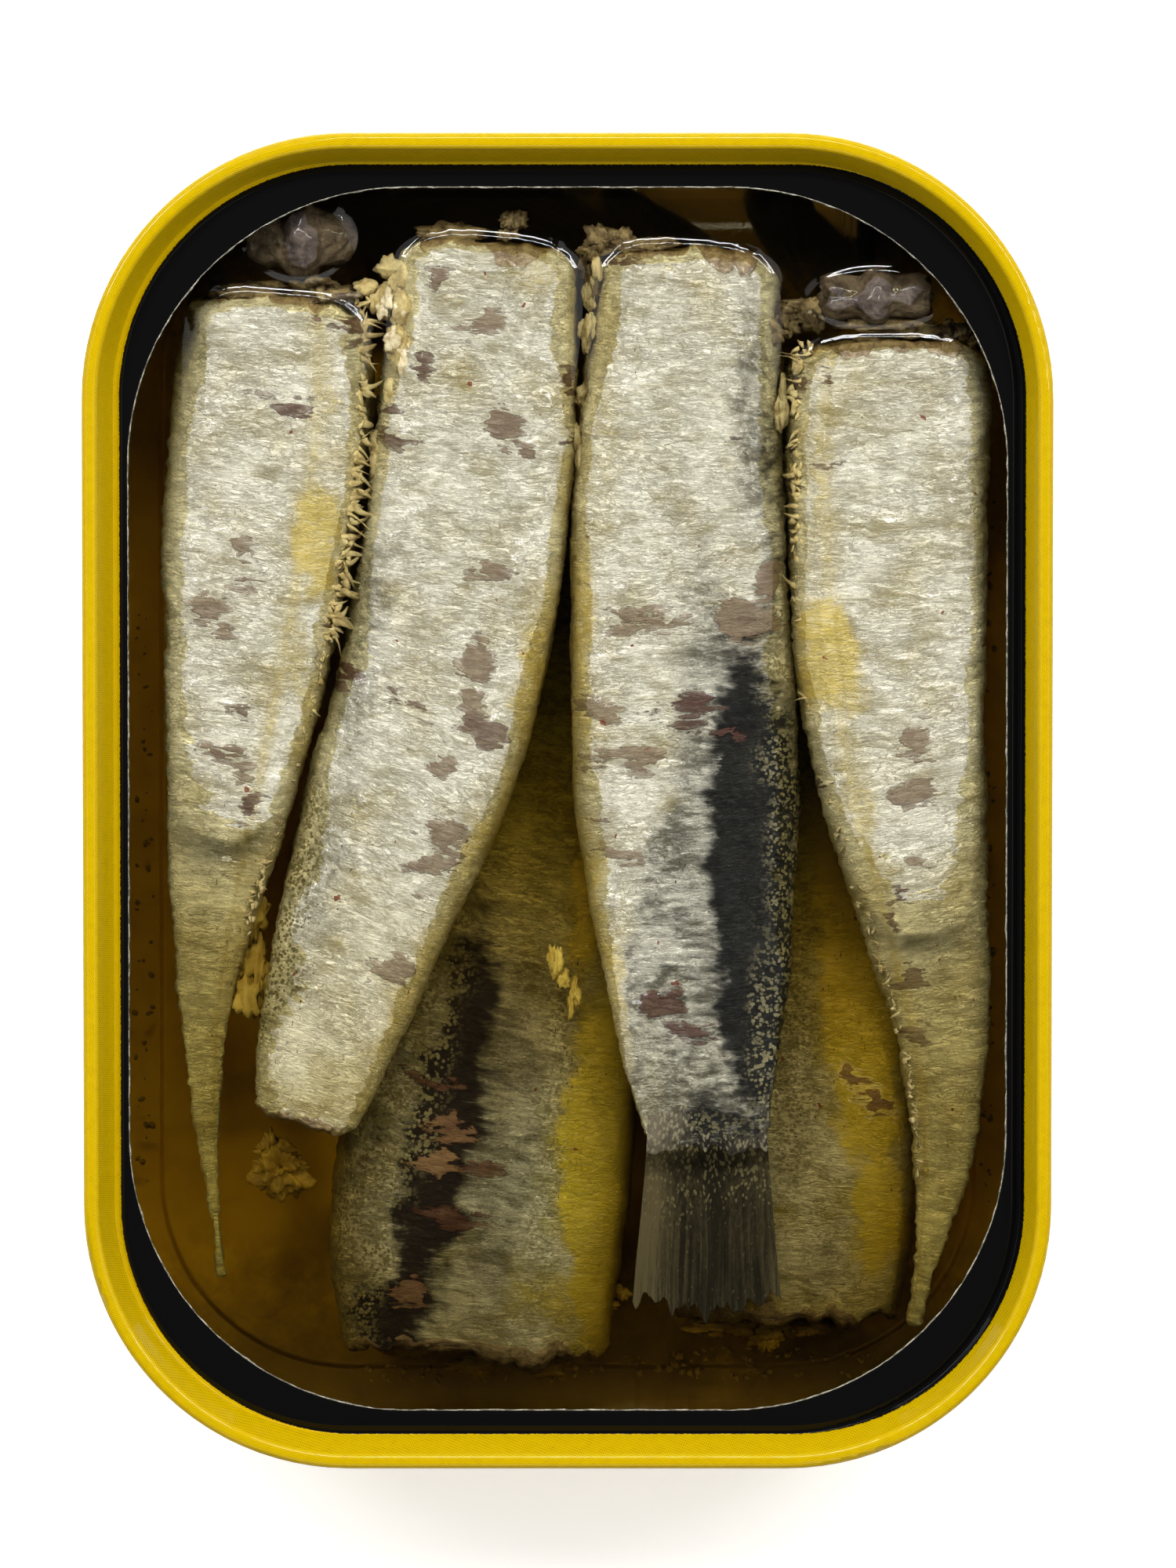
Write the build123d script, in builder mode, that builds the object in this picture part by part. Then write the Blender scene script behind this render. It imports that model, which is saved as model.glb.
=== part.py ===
"""Opened tin of sardines in oil, in millimetres.

The origin is the middle of the footprint on the surface the tin stands on. +X is to the right
of the opening, +Y is the end where the four upper fish have their cut heads, and +Z is up.
"""

import os
from dataclasses import dataclass
from math import copysign, cos, pi, sin

from build123d import *

os.makedirs("parts", exist_ok=True)

# The tin, measured over its seam.
TIN_WIDTH = 76.0
TIN_LENGTH = 105.0
TIN_HEIGHT = 21.5
CORNER_RADIUS = 20.8
BODY_SHEET = 0.20
LID_SHEET = 0.22

# The double seam: five layers of sheet, from the outside in.
LAYER_GAP = 0.02
SEAM_DEPTH = 3.0
CROWN_RADIUS = 0.40
CURL_RADIUS = 0.20
BODY_HOOK = 2.0
COVER_HOOK = 1.5

# The bottom: a standing ring round a panel that is raised off the table.
FOOT_RADIUS = 2.4
FOOT_RING = 4.6
PANEL_RISE = 0.6
PANEL_SLOPE = 0.4
BEND_RADIUS = 0.3
LAND = 1.0

# The lid: a wall that slopes down from the crown to a groove and a narrow ledge.
CHUCK_SLOPE = 1.25
GROOVE_DEPTH = 3.5
GROOVE_WIDTH = 0.4
LEDGE_DEPTH = 3.24
LEDGE_LAND = 0.2
OPENING_WIDTH = 69.1
OPENING_LENGTH = 96.5
OPENING_RADIUS = 21.9

# The filling, which hangs from the rim: the oil stands below it, the upper fish rise out of
# the oil, and the lower fish fill the depth that is left. Room is left under the upper fish.
OIL_HEADROOM = 5.9
OIL_LEVEL = TIN_HEIGHT - OIL_HEADROOM
OIL_GAP = 0.06
FISH_RISE = 1.2
FISH_TOP = OIL_LEVEL + FISH_RISE
LOWER_LEFT_DROP = 1.0
LOWER_RIGHT_DROP = 1.7
LEFT_ROOM = 3.0
RIGHT_ROOM = 4.0
MIDDLE_ROOM = 5.4
FLOOR_CLEARANCE = 0.4

# Where the five layers of the seam lie, each measured in from the outer edge.
COVER_WALL = LID_SHEET / 2
HOOK_LINE = LID_SHEET + LAYER_GAP + BODY_SHEET / 2
COVER_HOOK_LINE = HOOK_LINE + BODY_SHEET / 2 + LAYER_GAP + LID_SHEET / 2
WALL_LINE = COVER_HOOK_LINE + LID_SHEET / 2 + LAYER_GAP + BODY_SHEET / 2
CHUCK_LINE = WALL_LINE + BODY_SHEET / 2 + LAYER_GAP + LID_SHEET / 2
WALL_INSIDE = WALL_LINE + BODY_SHEET / 2
FLOOR_TOP = PANEL_RISE + BODY_SHEET
LOWER_DEPTH = OIL_LEVEL - FLOOR_TOP - FLOOR_CLEARANCE
UPPER_DEPTH = FISH_TOP - FLOOR_TOP


def rounded_outline(inset: float) -> RectangleRounded:
    """The tin's plan outline, drawn in from the outer edge of the seam by inset."""
    return RectangleRounded(
        TIN_WIDTH - 2 * inset, TIN_LENGTH - 2 * inset, CORNER_RADIUS - inset
    )


def rim_path() -> Wire:
    """The outer edge of the seam as one closed path, from the middle of the right side."""
    right, back = TIN_WIDTH / 2, TIN_LENGTH / 2
    with BuildLine(Plane.XY.offset(TIN_HEIGHT)) as path:
        FilletPolyline((right, 0), (right, back), (-right, back), (-right, 0), radius=CORNER_RADIUS)
        mirror(about=Plane.XZ)
    return path.wire()


# A section's own x runs in from the seam's outer edge and its y runs up from the rim.
SECTION = Plane(origin=(TIN_WIDTH / 2, 0, TIN_HEIGHT), x_dir=(-1, 0, 0), z_dir=(0, 1, 0))

with BuildPart() as tin_body:
    with BuildSketch(SECTION):
        with BuildLine():
            hook_top = -LID_SHEET - LAYER_GAP - BODY_SHEET / 2
            floor = BODY_SHEET / 2 - TIN_HEIGHT
            ring_end = WALL_LINE + FOOT_RING
            FilletPolyline(
                (HOOK_LINE, hook_top - BODY_HOOK),
                (HOOK_LINE, hook_top),
                (WALL_LINE, hook_top),
                (WALL_LINE, floor),
                (ring_end, floor),
                (ring_end + PANEL_SLOPE, floor + PANEL_RISE),
                (ring_end + PANEL_SLOPE + LAND, floor + PANEL_RISE),
                radius=[CURL_RADIUS, CURL_RADIUS, FOOT_RADIUS, BEND_RADIUS, BEND_RADIUS],
            )
        trace(line_width=BODY_SHEET)
    sweep(path=rim_path())
    with BuildSketch(Plane.XY.offset(PANEL_RISE)):
        rounded_outline(ring_end + PANEL_SLOPE + LAND / 2)
    extrude(amount=BODY_SHEET)
tin_body.part.label = "tin_body"
export_step(tin_body.part, "parts/tin_body.step")

with BuildPart() as lid_ring:
    ledge_inset = CHUCK_LINE + CHUCK_SLOPE + 2 * GROOVE_WIDTH
    with BuildSketch(SECTION):
        with BuildLine():
            curl = LID_SHEET / 2 - SEAM_DEPTH
            groove = LID_SHEET / 2 - GROOVE_DEPTH
            ledge = LID_SHEET / 2 - LEDGE_DEPTH
            FilletPolyline(
                (COVER_HOOK_LINE, curl + COVER_HOOK),
                (COVER_HOOK_LINE, curl),
                (COVER_WALL, curl),
                (COVER_WALL, -LID_SHEET / 2),
                (CHUCK_LINE, -LID_SHEET / 2),
                (CHUCK_LINE + CHUCK_SLOPE, groove),
                (CHUCK_LINE + CHUCK_SLOPE + GROOVE_WIDTH, groove),
                (ledge_inset, ledge),
                (ledge_inset + LEDGE_LAND, ledge),
                radius=[CURL_RADIUS, CURL_RADIUS, CROWN_RADIUS, CROWN_RADIUS, 0.2, 0.15, 0.15],
            )
        trace(line_width=LID_SHEET)
    sweep(path=rim_path())
    with BuildSketch(Plane.XY.offset(TIN_HEIGHT - LEDGE_DEPTH)):
        rounded_outline(ledge_inset + LEDGE_LAND / 2)
        RectangleRounded(
            OPENING_WIDTH, OPENING_LENGTH, OPENING_RADIUS, mode=Mode.SUBTRACT
        )
    extrude(amount=LID_SHEET)
lid_ring.part.label = "lid_ring"
export_step(lid_ring.part, "parts/lid_ring.step")


def ease(share: float) -> float:
    """A smooth step from 0 to 1."""
    share = min(max(share, 0.0), 1.0)
    return share * share * (3 - 2 * share)


@dataclass(frozen=True)
class Fish:
    """A headless fish on its side or its back, from the cut end to the tail.

    The spine is a few (x, y) points in plan. Widths are seen from above and thicknesses are
    up and down. The girth is the greatest width and lies at the share girth_at of the length.
    The thickness falls off towards the tail as the width does, to the power thinning.
    A fish of the lower layer lies on the floor, and an upper one keeps its back at the top.
    """

    name: str
    spine: tuple
    head_width: float
    girth: float
    girth_at: float
    tail_width: float
    taper: float
    thickness: float
    tail_thickness: float
    tail_drop: float = 0.0
    thinning: float = 2.0
    on_floor: bool = False

    # Stations along the body. The first ones round the cut end over.
    stations = (0.0, 0.012, 0.05, 0.14, 0.26, 0.38, 0.5, 0.62, 0.74, 0.86, 0.95, 1.0)
    rounding = {0.0: 0.80, 0.012: 0.93}
    outline_points = 16
    squareness = 0.85

    def fall_at(self, share: float) -> float:
        """How far along the taper a station is: 1 at the girth and 0 at the tail."""
        rest = (share - self.girth_at) / (1 - self.girth_at)
        return max(cos(pi / 2 * rest), 0.0) ** self.taper

    def width_at(self, share: float) -> float:
        """The width in plan, which grows to the girth and narrows to the tail."""
        if share < self.girth_at:
            swell = sin(pi / 2 * share / self.girth_at)
            return self.head_width + (self.girth - self.head_width) * swell
        return self.tail_width + (self.girth - self.tail_width) * self.fall_at(share)

    def thickness_at(self, share: float) -> float:
        """The height from the underside to the top, which falls off sooner than the width."""
        if share < self.girth_at:
            return self.thickness * (0.9 + 0.1 * share / self.girth_at)
        fall = self.fall_at(share) ** self.thinning
        return self.tail_thickness + (self.thickness - self.tail_thickness) * fall

    def middle_at(self, share: float) -> float:
        """The height of the spine over the table."""
        half = self.thickness_at(share) / 2
        if self.on_floor:
            return FLOOR_TOP + FLOOR_CLEARANCE + half
        return FISH_TOP - self.tail_drop * ease((share - 0.3) / 0.7) - half

    def build(self) -> BuildPart:
        """Loft the body through its sections."""
        spine = Spline(*self.spine)
        with BuildPart() as body:
            for share in self.stations:
                middle, along = spine @ share, spine % share
                middle.Z = self.middle_at(share)
                half_width = self.width_at(share) / 2 * self.rounding.get(share, 1.0)
                half_height = self.thickness_at(share) / 2 * self.rounding.get(share, 1.0)
                across = Vector(along.Y, -along.X, 0)
                with BuildSketch(Plane(origin=middle, x_dir=across, z_dir=along)):
                    with BuildLine():
                        Spline(*self.outline(half_width, half_height), periodic=True)
                    make_face()
            loft()
        return body

    def outline(self, half_width: float, half_height: float) -> list:
        """Points on a softly squared oval."""
        turns = [2 * pi * step / self.outline_points for step in range(self.outline_points)]
        return [
            (
                half_width * copysign(abs(cos(turn)) ** self.squareness, cos(turn)),
                half_height * copysign(abs(sin(turn)) ** self.squareness, sin(turn)),
            )
            for turn in turns
        ]


UPPER_LEFT = Fish(
    name="fish_left",
    spine=((-22.4, 39.9), (-24.0, 22.0), (-26.8, 0.5), (-28.6, -18.0), (-27.4, -38.4)),
    head_width=14.2, girth=15.8, girth_at=0.15, tail_width=0.9, taper=2.0,
    thickness=UPPER_DEPTH - LEFT_ROOM, tail_thickness=1.6, tail_drop=4.2,
)
UPPER_MID_LEFT = Fish(
    name="fish_mid_left",
    spine=((-5.9, 44.2), (-7.4, 27.0), (-10.2, 8.0), (-15.9, -9.0), (-21.2, -27.0)),
    head_width=14.2, girth=16.4, girth_at=0.42, tail_width=7.2, taper=0.8,
    thickness=UPPER_DEPTH - MIDDLE_ROOM, tail_thickness=3.2, tail_drop=0.8,
)
UPPER_MID_RIGHT = Fish(
    name="fish_mid_right",
    spine=((9.62, 43.6), (8.7, 22.0), (9.2, 4.0), (10.0, -10.0), (11.0, -27.5)),
    head_width=13.8, girth=17.8, girth_at=0.58, tail_width=9.6, taper=1.2,
    thickness=UPPER_DEPTH - MIDDLE_ROOM, tail_thickness=2.2, tail_drop=0.4,
)
UPPER_RIGHT = Fish(
    name="fish_right",
    spine=((25.15, 36.4), (25.2, 22.0), (26.5, 0.5), (29.8, -24.0), (27.4, -42.2)),
    head_width=15.0, girth=16.4, girth_at=0.1, tail_width=1.0, taper=1.25,
    thickness=UPPER_DEPTH - RIGHT_ROOM, tail_thickness=1.8, tail_drop=3.2,
)
LOWER_LEFT = Fish(
    name="fish_under_left",
    spine=((-7.6, -46.6), (-6.6, -30.0), (-3.4, -10.0), (-1.4, 6.0), (-0.4, 22.0)),
    head_width=20.0, girth=23.6, girth_at=0.22, tail_width=3.0, taper=1.35,
    thickness=LOWER_DEPTH - LOWER_LEFT_DROP, tail_thickness=1.8, thinning=1.2, on_floor=True,
)
LOWER_RIGHT = Fish(
    name="fish_under_right",
    spine=((16.8, -43.6), (17.8, -30.0), (19.8, -10.0), (19.4, 6.0), (17.6, 22.0)),
    head_width=18.0, girth=19.8, girth_at=0.2, tail_width=3.0, taper=1.4,
    thickness=LOWER_DEPTH - LOWER_RIGHT_DROP, tail_thickness=1.8, thinning=1.5, on_floor=True,
)

fish_left = UPPER_LEFT.build()
fish_mid_left = UPPER_MID_LEFT.build()
fish_right = UPPER_RIGHT.build()
fish_under_left = LOWER_LEFT.build()
fish_under_right = LOWER_RIGHT.build()

# The tail fin of the one upper fish that keeps it: a thin fan that spreads from the tail.
FIN_LENGTH = 13.5
FIN_ROOT = 9.0
FIN_SPREAD = 10.6
FIN_THICKNESS = 0.9
FIN_OVERLAP = 1.5
FIN_NOTCH = 1.6

finned_body = UPPER_MID_RIGHT.build()
with BuildPart() as fish_mid_right:
    add(finned_body.part)
    fin_x, fin_y = UPPER_MID_RIGHT.spine[-1]
    fin_height = UPPER_MID_RIGHT.middle_at(1.0) - FIN_THICKNESS / 2
    with BuildSketch(Plane.XY.offset(fin_height)):
        with BuildLine():
            Polyline(
                (fin_x - FIN_ROOT / 2, fin_y + FIN_OVERLAP),
                (fin_x - FIN_SPREAD / 2, fin_y - FIN_LENGTH / 2),
                (fin_x - FIN_SPREAD / 2 + 0.6, fin_y - FIN_LENGTH),
                (fin_x, fin_y - FIN_LENGTH + FIN_NOTCH),
                (fin_x + FIN_SPREAD / 2 - 0.6, fin_y - FIN_LENGTH),
                (fin_x + FIN_SPREAD / 2, fin_y - FIN_LENGTH / 2),
                (fin_x + FIN_ROOT / 2, fin_y + FIN_OVERLAP),
                close=True,
            )
        make_face()
    extrude(amount=FIN_THICKNESS)


@dataclass(frozen=True)
class Tissue:
    """A loose soft lump that lies along a short line and bulges in a few lobes."""

    start: tuple
    end: tuple
    width: float
    height: float
    middle: float
    lobes: float

    steps = 10
    end_share = 0.03
    bulge = 0.16

    def build(self) -> BuildPart:
        """Loft oval sections that swell at each lobe and close in at both ends."""
        line = Line((*self.start, self.middle), (*self.end, self.middle))
        with BuildPart() as body:
            for step in range(self.steps + 1):
                share = self.end_share + (1 - 2 * self.end_share) * step / self.steps
                swell = 1 + self.bulge * cos(2 * pi * self.lobes * share + pi * self.lobes)
                scale = (1 - (2 * share - 1) ** 2) ** 0.5 * swell / 2
                along = line % share
                across = Vector(along.Y, -along.X, 0)
                with BuildSketch(Plane(origin=line @ share, x_dir=across, z_dir=along)):
                    Ellipse(self.width * scale, self.height * scale)
            loft()
        return body


gut_left = Tissue((-25.2, 44.6), (-16.8, 43.2), 5.4, 4.8, middle=13.8, lobes=2).build()
gut_right = Tissue((18.6, 39.8), (29.8, 39.0), 3.8, 4.2, middle=14.2, lobes=3).build()
flesh_flake = Tissue((-24.2, -27.8), (-21.4, -32.2), 5.6, 3.6, middle=9.8, lobes=1).build()

contents = {
    "fish_left": fish_left,
    "fish_mid_left": fish_mid_left,
    "fish_mid_right": fish_mid_right,
    "fish_right": fish_right,
    "fish_under_left": fish_under_left,
    "fish_under_right": fish_under_right,
    "gut_left": gut_left,
    "gut_right": gut_right,
    "flesh_flake": flesh_flake,
}
for piece_name, piece in contents.items():
    piece.part.label = piece_name
    export_step(piece.part, f"parts/{piece_name}.step")

with BuildPart() as oil:
    with BuildSketch(Plane.XY.offset(BODY_SHEET + OIL_GAP)):
        rounded_outline(WALL_INSIDE + OIL_GAP)
    extrude(amount=OIL_LEVEL - BODY_SHEET - OIL_GAP)
    fillet(oil.edges().group_by(Axis.Z)[0], radius=FOOT_RADIUS - BODY_SHEET / 2)
    with BuildSketch(Plane.XY):
        rounded_outline(ring_end - BODY_SHEET)
    extrude(amount=FLOOR_TOP + OIL_GAP, mode=Mode.SUBTRACT)
    for piece in contents.values():
        add(piece.part, mode=Mode.SUBTRACT)
oil.part.label = "oil"
export_step(oil.part, "parts/oil.step")
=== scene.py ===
"""Looks of an opened tin of sardines in oil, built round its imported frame.

Sizes in the classes are in millimetres, as on a maker's drawing, and become metres where a
mesh is made. +X is to the right, +Y is the end with the four cut heads and +Z is up.
"""
import logging
import math
from dataclasses import dataclass
from enum import Enum
from functools import partial
from typing import Callable, Optional, Sequence, Union

import bpy
import numpy as np
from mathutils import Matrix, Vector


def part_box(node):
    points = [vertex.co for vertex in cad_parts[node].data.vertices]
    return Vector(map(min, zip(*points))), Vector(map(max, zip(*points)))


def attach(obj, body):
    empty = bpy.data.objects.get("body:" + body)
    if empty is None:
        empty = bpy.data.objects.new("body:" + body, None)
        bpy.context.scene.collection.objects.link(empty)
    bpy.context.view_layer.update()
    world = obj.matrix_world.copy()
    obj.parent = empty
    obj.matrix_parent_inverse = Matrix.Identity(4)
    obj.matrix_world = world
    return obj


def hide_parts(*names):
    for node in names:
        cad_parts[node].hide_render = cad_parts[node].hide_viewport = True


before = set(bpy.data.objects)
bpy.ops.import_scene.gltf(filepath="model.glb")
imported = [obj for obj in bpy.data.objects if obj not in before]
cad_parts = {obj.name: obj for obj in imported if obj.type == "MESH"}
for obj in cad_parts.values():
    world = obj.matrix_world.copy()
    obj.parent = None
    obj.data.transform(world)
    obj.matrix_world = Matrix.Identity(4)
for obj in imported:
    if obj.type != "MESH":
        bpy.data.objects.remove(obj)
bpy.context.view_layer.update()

MM = 0.001
FAR = 9.0
OIL_GAP = 0.05
OIL_LIFT = 0.6
WHITE = (1.0, 1.0, 1.0)
BLACK = (0.0, 0.0, 0.0)
LOG = logging.getLogger("sardine_tin")
Array = np.ndarray
Colour = tuple[float, float, float]
Number = Union[float, "Value"]


# ---------------------------------------------------------------- numbers and noise


def node_box(node: str) -> tuple[Array, Array]:
    """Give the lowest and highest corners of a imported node.

    Args:
        node: Name of the node in the frame.

    Returns:
        The two corners in millimetres.
    """
    low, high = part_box(node)
    return np.array(low) / MM, np.array(high) / MM


def ease(value: Array, start: float, end: float) -> Array:
    """Step smoothly from 0 at start to 1 at end.

    Args:
        value: Numbers to map.
        start: Where the step begins. It may be the larger of the two.
        end: Where the step is complete.

    Returns:
        The stepped values, each between 0 and 1.
    """
    share = np.clip((value - start) / (end - start), 0.0, 1.0)
    return share * share * (3.0 - 2.0 * share)


def natural_curve(knots: Array, values: Array, at: Array) -> Array:
    """Run a natural cubic spline through values.

    Args:
        knots: Where the values stand, in rising order.
        values: The values there.
        at: Where the curve is sampled.

    Returns:
        The curve's values.
    """
    gap = np.diff(knots)
    slope = np.diff(values) / gap
    count = len(knots)
    matrix, right = np.eye(count), np.zeros(count)
    for row in range(1, count - 1):
        matrix[row, row - 1 : row + 2] = gap[row - 1], 2 * (gap[row - 1] + gap[row]), gap[row]
        right[row] = 6 * (slope[row] - slope[row - 1])
    bend = np.linalg.solve(matrix, right)
    piece = np.clip(np.searchsorted(knots, at) - 1, 0, count - 2)
    width = gap[piece]
    before, after = (knots[piece + 1] - at) / width, (at - knots[piece]) / width
    straight = before * values[piece] + after * values[piece + 1]
    bowed = (before**3 - before) * bend[piece] + (after**3 - after) * bend[piece + 1]
    return straight + bowed * width**2 / 6


class Noise:
    """Seeded gradient noise for whole arrays of points."""

    cells = 256
    gain = 1.6

    def __init__(self, seed: int) -> None:
        """Draw the lattice of slopes.

        Args:
            seed: Start of the random draw, so that every run gives the same lattice.
        """
        draw = np.random.default_rng(seed)
        self.order = draw.permutation(self.cells)
        slopes = draw.normal(size=(self.cells, 3))
        self.slopes = slopes / np.linalg.norm(slopes, axis=1, keepdims=True)

    def __call__(self, *axes: Array) -> Array:
        """Sample the noise.

        Args:
            *axes: Up to three coordinate arrays of one shape, in cells.

        Returns:
            Smooth values, mostly between -1 and 1.
        """
        filled = list(axes) + [np.full_like(axes[0], 0.37)] * (3 - len(axes))
        point = np.stack(np.broadcast_arrays(*filled), axis=-1)
        cell = np.floor(point).astype(int)
        local = point - cell
        fade = local**3 * (local * (local * 6.0 - 15.0) + 10.0)
        total = np.zeros(point.shape[:-1])
        for corner in np.ndindex(2, 2, 2):
            index = np.zeros(point.shape[:-1], dtype=int)
            weight = np.ones(point.shape[:-1])
            for axis, step in enumerate(corner):
                index = self.order[(index + cell[..., axis] + step) % self.cells]
                weight = weight * (fade[..., axis] if step else 1.0 - fade[..., axis])
            total += weight * (self.slopes[index] * (local - np.array(corner))).sum(axis=-1)
        return total * self.gain

    def layered(self, *axes: Array, layers: int = 4) -> Array:
        """Add layers of noise, each twice as fine and half as strong.

        Args:
            *axes: Coordinate arrays of one shape, in cells of the coarsest layer.
            layers: How many layers to add.

        Returns:
            The summed values.
        """
        return sum(self(*(axis * 2.0**n for axis in axes)) * 0.5**n for n in range(layers))

    def creased(self, *axes: Array, layers: int = 3) -> Array:
        """Add layers of noise folded at zero, which gives sharp crests like crumpled foil.

        Args:
            *axes: Coordinate arrays of one shape, in cells of the coarsest layer.
            layers: How many layers to add.

        Returns:
            Values from about 0 in the hollows to 1 on the crests.
        """
        total = sum(
            (1.0 - np.abs(self(*(axis * 1.9**n for axis in axes)))) ** 2 * 0.55**n
            for n in range(layers)
        )
        return total / sum(0.55**n for n in range(layers))


# ---------------------------------------------------------------- shader building


class Value:
    """A socket that adds Math nodes when it is used in an expression."""

    def __init__(self, graph: "Graph", socket: bpy.types.NodeSocket) -> None:
        """Wrap an output socket.

        Args:
            graph: The node graph that the socket belongs to.
            socket: The output to wrap.
        """
        self.graph = graph
        self.socket = socket

    def __add__(self, other: Number) -> "Value":
        """Add a number or a value."""
        return self.graph.math("ADD", self, other)

    def __sub__(self, other: Number) -> "Value":
        """Take away a number or a value."""
        return self.graph.math("SUBTRACT", self, other)

    def __rsub__(self, other: Number) -> "Value":
        """Take this value away from a number."""
        return self.graph.math("SUBTRACT", other, self)

    def __mul__(self, other: Number) -> "Value":
        """Multiply by a number or a value."""
        return self.graph.math("MULTIPLY", self, other)

    def __truediv__(self, other: Number) -> "Value":
        """Divide by a number or a value."""
        return self.graph.math("DIVIDE", self, other)

    def __rtruediv__(self, other: Number) -> "Value":
        """Divide a number by this value."""
        return self.graph.math("DIVIDE", other, self)

    def __pow__(self, other: Number) -> "Value":
        """Raise to a power."""
        return self.graph.math("POWER", self, other)

    def __abs__(self) -> "Value":
        """Drop the sign."""
        return self.graph.math("ABSOLUTE", self)

    __radd__ = __add__
    __rmul__ = __mul__

    def least(self, other: Number) -> "Value":
        """Give the smaller of this and another."""
        return self.graph.math("MINIMUM", self, other)

    def most(self, other: Number) -> "Value":
        """Give the larger of this and another."""
        return self.graph.math("MAXIMUM", self, other)

    def step(self, start: float, end: float) -> "Value":
        """Step smoothly from 0 at start to 1 at end.

        Args:
            start: Input at which the step begins. It may be the larger of the two.
            end: Input at which the step is complete.

        Returns:
            The stepped value.
        """
        low, high = min(start, end), max(start, end)
        node = self.graph.node(
            "ShaderNodeMapRange",
            {"interpolation_type": "SMOOTHSTEP"},
            {"Value": self, "From Min": low, "From Max": high,
             "To Min": float(start > end), "To Max": float(start < end)},
        )
        return Value(self.graph, node.outputs["Result"])


class Graph:
    """The node graph of one new material, or of the sky."""

    def __init__(self, owner: Union[bpy.types.Material, bpy.types.World]) -> None:
        """Empty the graph of a new material or sky.

        Args:
            owner: What the graph belongs to.
        """
        owner.use_nodes = True
        self.owner = owner
        self.tree = owner.node_tree
        self.tree.nodes.clear()

    def node(
        self, kind: str, settings: Optional[dict] = None, inputs: Optional[dict] = None
    ) -> bpy.types.Node:
        """Add a node.

        Args:
            kind: Blender's name for the node type.
            settings: Properties of the node, which are set first.
            inputs: Values or links of its input sockets, by name or number.

        Returns:
            The new node.
        """
        node = self.tree.nodes.new(kind)
        for key, setting in (settings or {}).items():
            setattr(node, key, setting)
        for key, item in (inputs or {}).items():
            if isinstance(item, Value):
                self.tree.links.new(item.socket, node.inputs[key])
            elif isinstance(item, bpy.types.NodeSocket):
                self.tree.links.new(item, node.inputs[key])
            else:
                node.inputs[key].default_value = item
        return node

    def math(self, operation: str, *terms: Number) -> Value:
        """Add a Math node and give its result."""
        node = self.node("ShaderNodeMath", {"operation": operation}, dict(enumerate(terms)))
        return Value(self, node.outputs[0])

    def field(self, name: str) -> Value:
        """Give a number that the mesh carries at each point."""
        node = self.node("ShaderNodeAttribute", {"attribute_name": name})
        return Value(self, node.outputs["Fac"])

    def flow(self, along: float, across: float) -> bpy.types.NodeSocket:
        """Give the place on a body, measured along and across it.

        Args:
            along: Cells a millimetre along the body.
            across: Cells a millimetre across it.

        Returns:
            A vector socket for a texture.
        """
        place = self.node("ShaderNodeAttribute", {"attribute_name": "flow"})
        scaled = self.node(
            "ShaderNodeVectorMath", {"operation": "MULTIPLY"},
            {0: place.outputs["Vector"], 1: (along, across, 1.0)},
        )
        return scaled.outputs["Vector"]

    def place(self, space: str = "Object") -> tuple[Value, Value, Value]:
        """Give the point's own x, y and z in metres, or a direction's in the sky's space."""
        coordinates = self.node("ShaderNodeTexCoord")
        parts = self.node("ShaderNodeSeparateXYZ", None, {0: coordinates.outputs[space]})
        return tuple(Value(self, output) for output in parts.outputs)

    def noise(
        self, vector: Optional[bpy.types.NodeSocket], scale: float = 1.0, detail: float = 3.0,
        roughness: float = 0.5, distortion: float = 0.0,
    ) -> Value:
        """Add a noise texture.

        Args:
            vector: Where it is sampled, or None for the object's own coordinates.
            scale: Cells per unit of the vector.
            detail: Number of finer layers.
            roughness: Strength of each finer layer.
            distortion: How far the pattern is swirled.

        Returns:
            Its value, about 0 to 1.
        """
        source = vector or self.node("ShaderNodeTexCoord").outputs["Object"]
        node = self.node(
            "ShaderNodeTexNoise", None,
            {"Vector": source, "Scale": scale, "Detail": detail, "Roughness": roughness,
             "Distortion": distortion},
        )
        return Value(self, node.outputs[0])

    def speckle(self, pitch: float) -> Value:
        """Scatter points over a body and give the distance to the nearest.

        Args:
            pitch: Points a millimetre.

        Returns:
            The distance, as a share of the space between two points.
        """
        spots = {"Vector": self.flow(pitch, pitch), "Scale": 1.0}
        return Value(self, self.node("ShaderNodeTexVoronoi", None, spots).outputs["Distance"])

    def blend(self, amount: Number, first: object, second: object, mode: str = "MIX") -> Value:
        """Mix two colours.

        Args:
            amount: Share of the second colour.
            first: Colour value or plain colour.
            second: Colour value or plain colour.
            mode: Blender's name for the way of mixing.

        Returns:
            The mixed colour.
        """
        colours = [c if isinstance(c, Value) else (*c, 1.0) for c in (first, second)]
        node = self.node(
            "ShaderNodeMix", {"data_type": "RGBA", "blend_type": mode, "clamp_factor": True},
            {0: amount, 6: colours[0], 7: colours[1]},
        )
        return Value(self, node.outputs[2])

    def bump(self, height: Value, distance: float) -> Value:
        """Turn a height into a normal.

        Args:
            height: Height as a share of the distance.
            distance: Height in millimetres that a value of 1 stands for.

        Returns:
            The normal.
        """
        settings = {"Strength": 1.0, "Distance": distance * MM, "Height": height}
        return Value(self, self.node("ShaderNodeBump", None, settings).outputs["Normal"])

    def surface(self, inputs: dict) -> bpy.types.Material:
        """Give the material one Principled shader with these inputs."""
        return self.finish(self.node("ShaderNodeBsdfPrincipled", None, inputs).outputs[0])

    def finish(self, shader: bpy.types.NodeSocket) -> bpy.types.Material:
        """Join a shader to the output and give the material."""
        self.node("ShaderNodeOutputMaterial", None, {"Surface": shader})
        return self.owner


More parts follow.
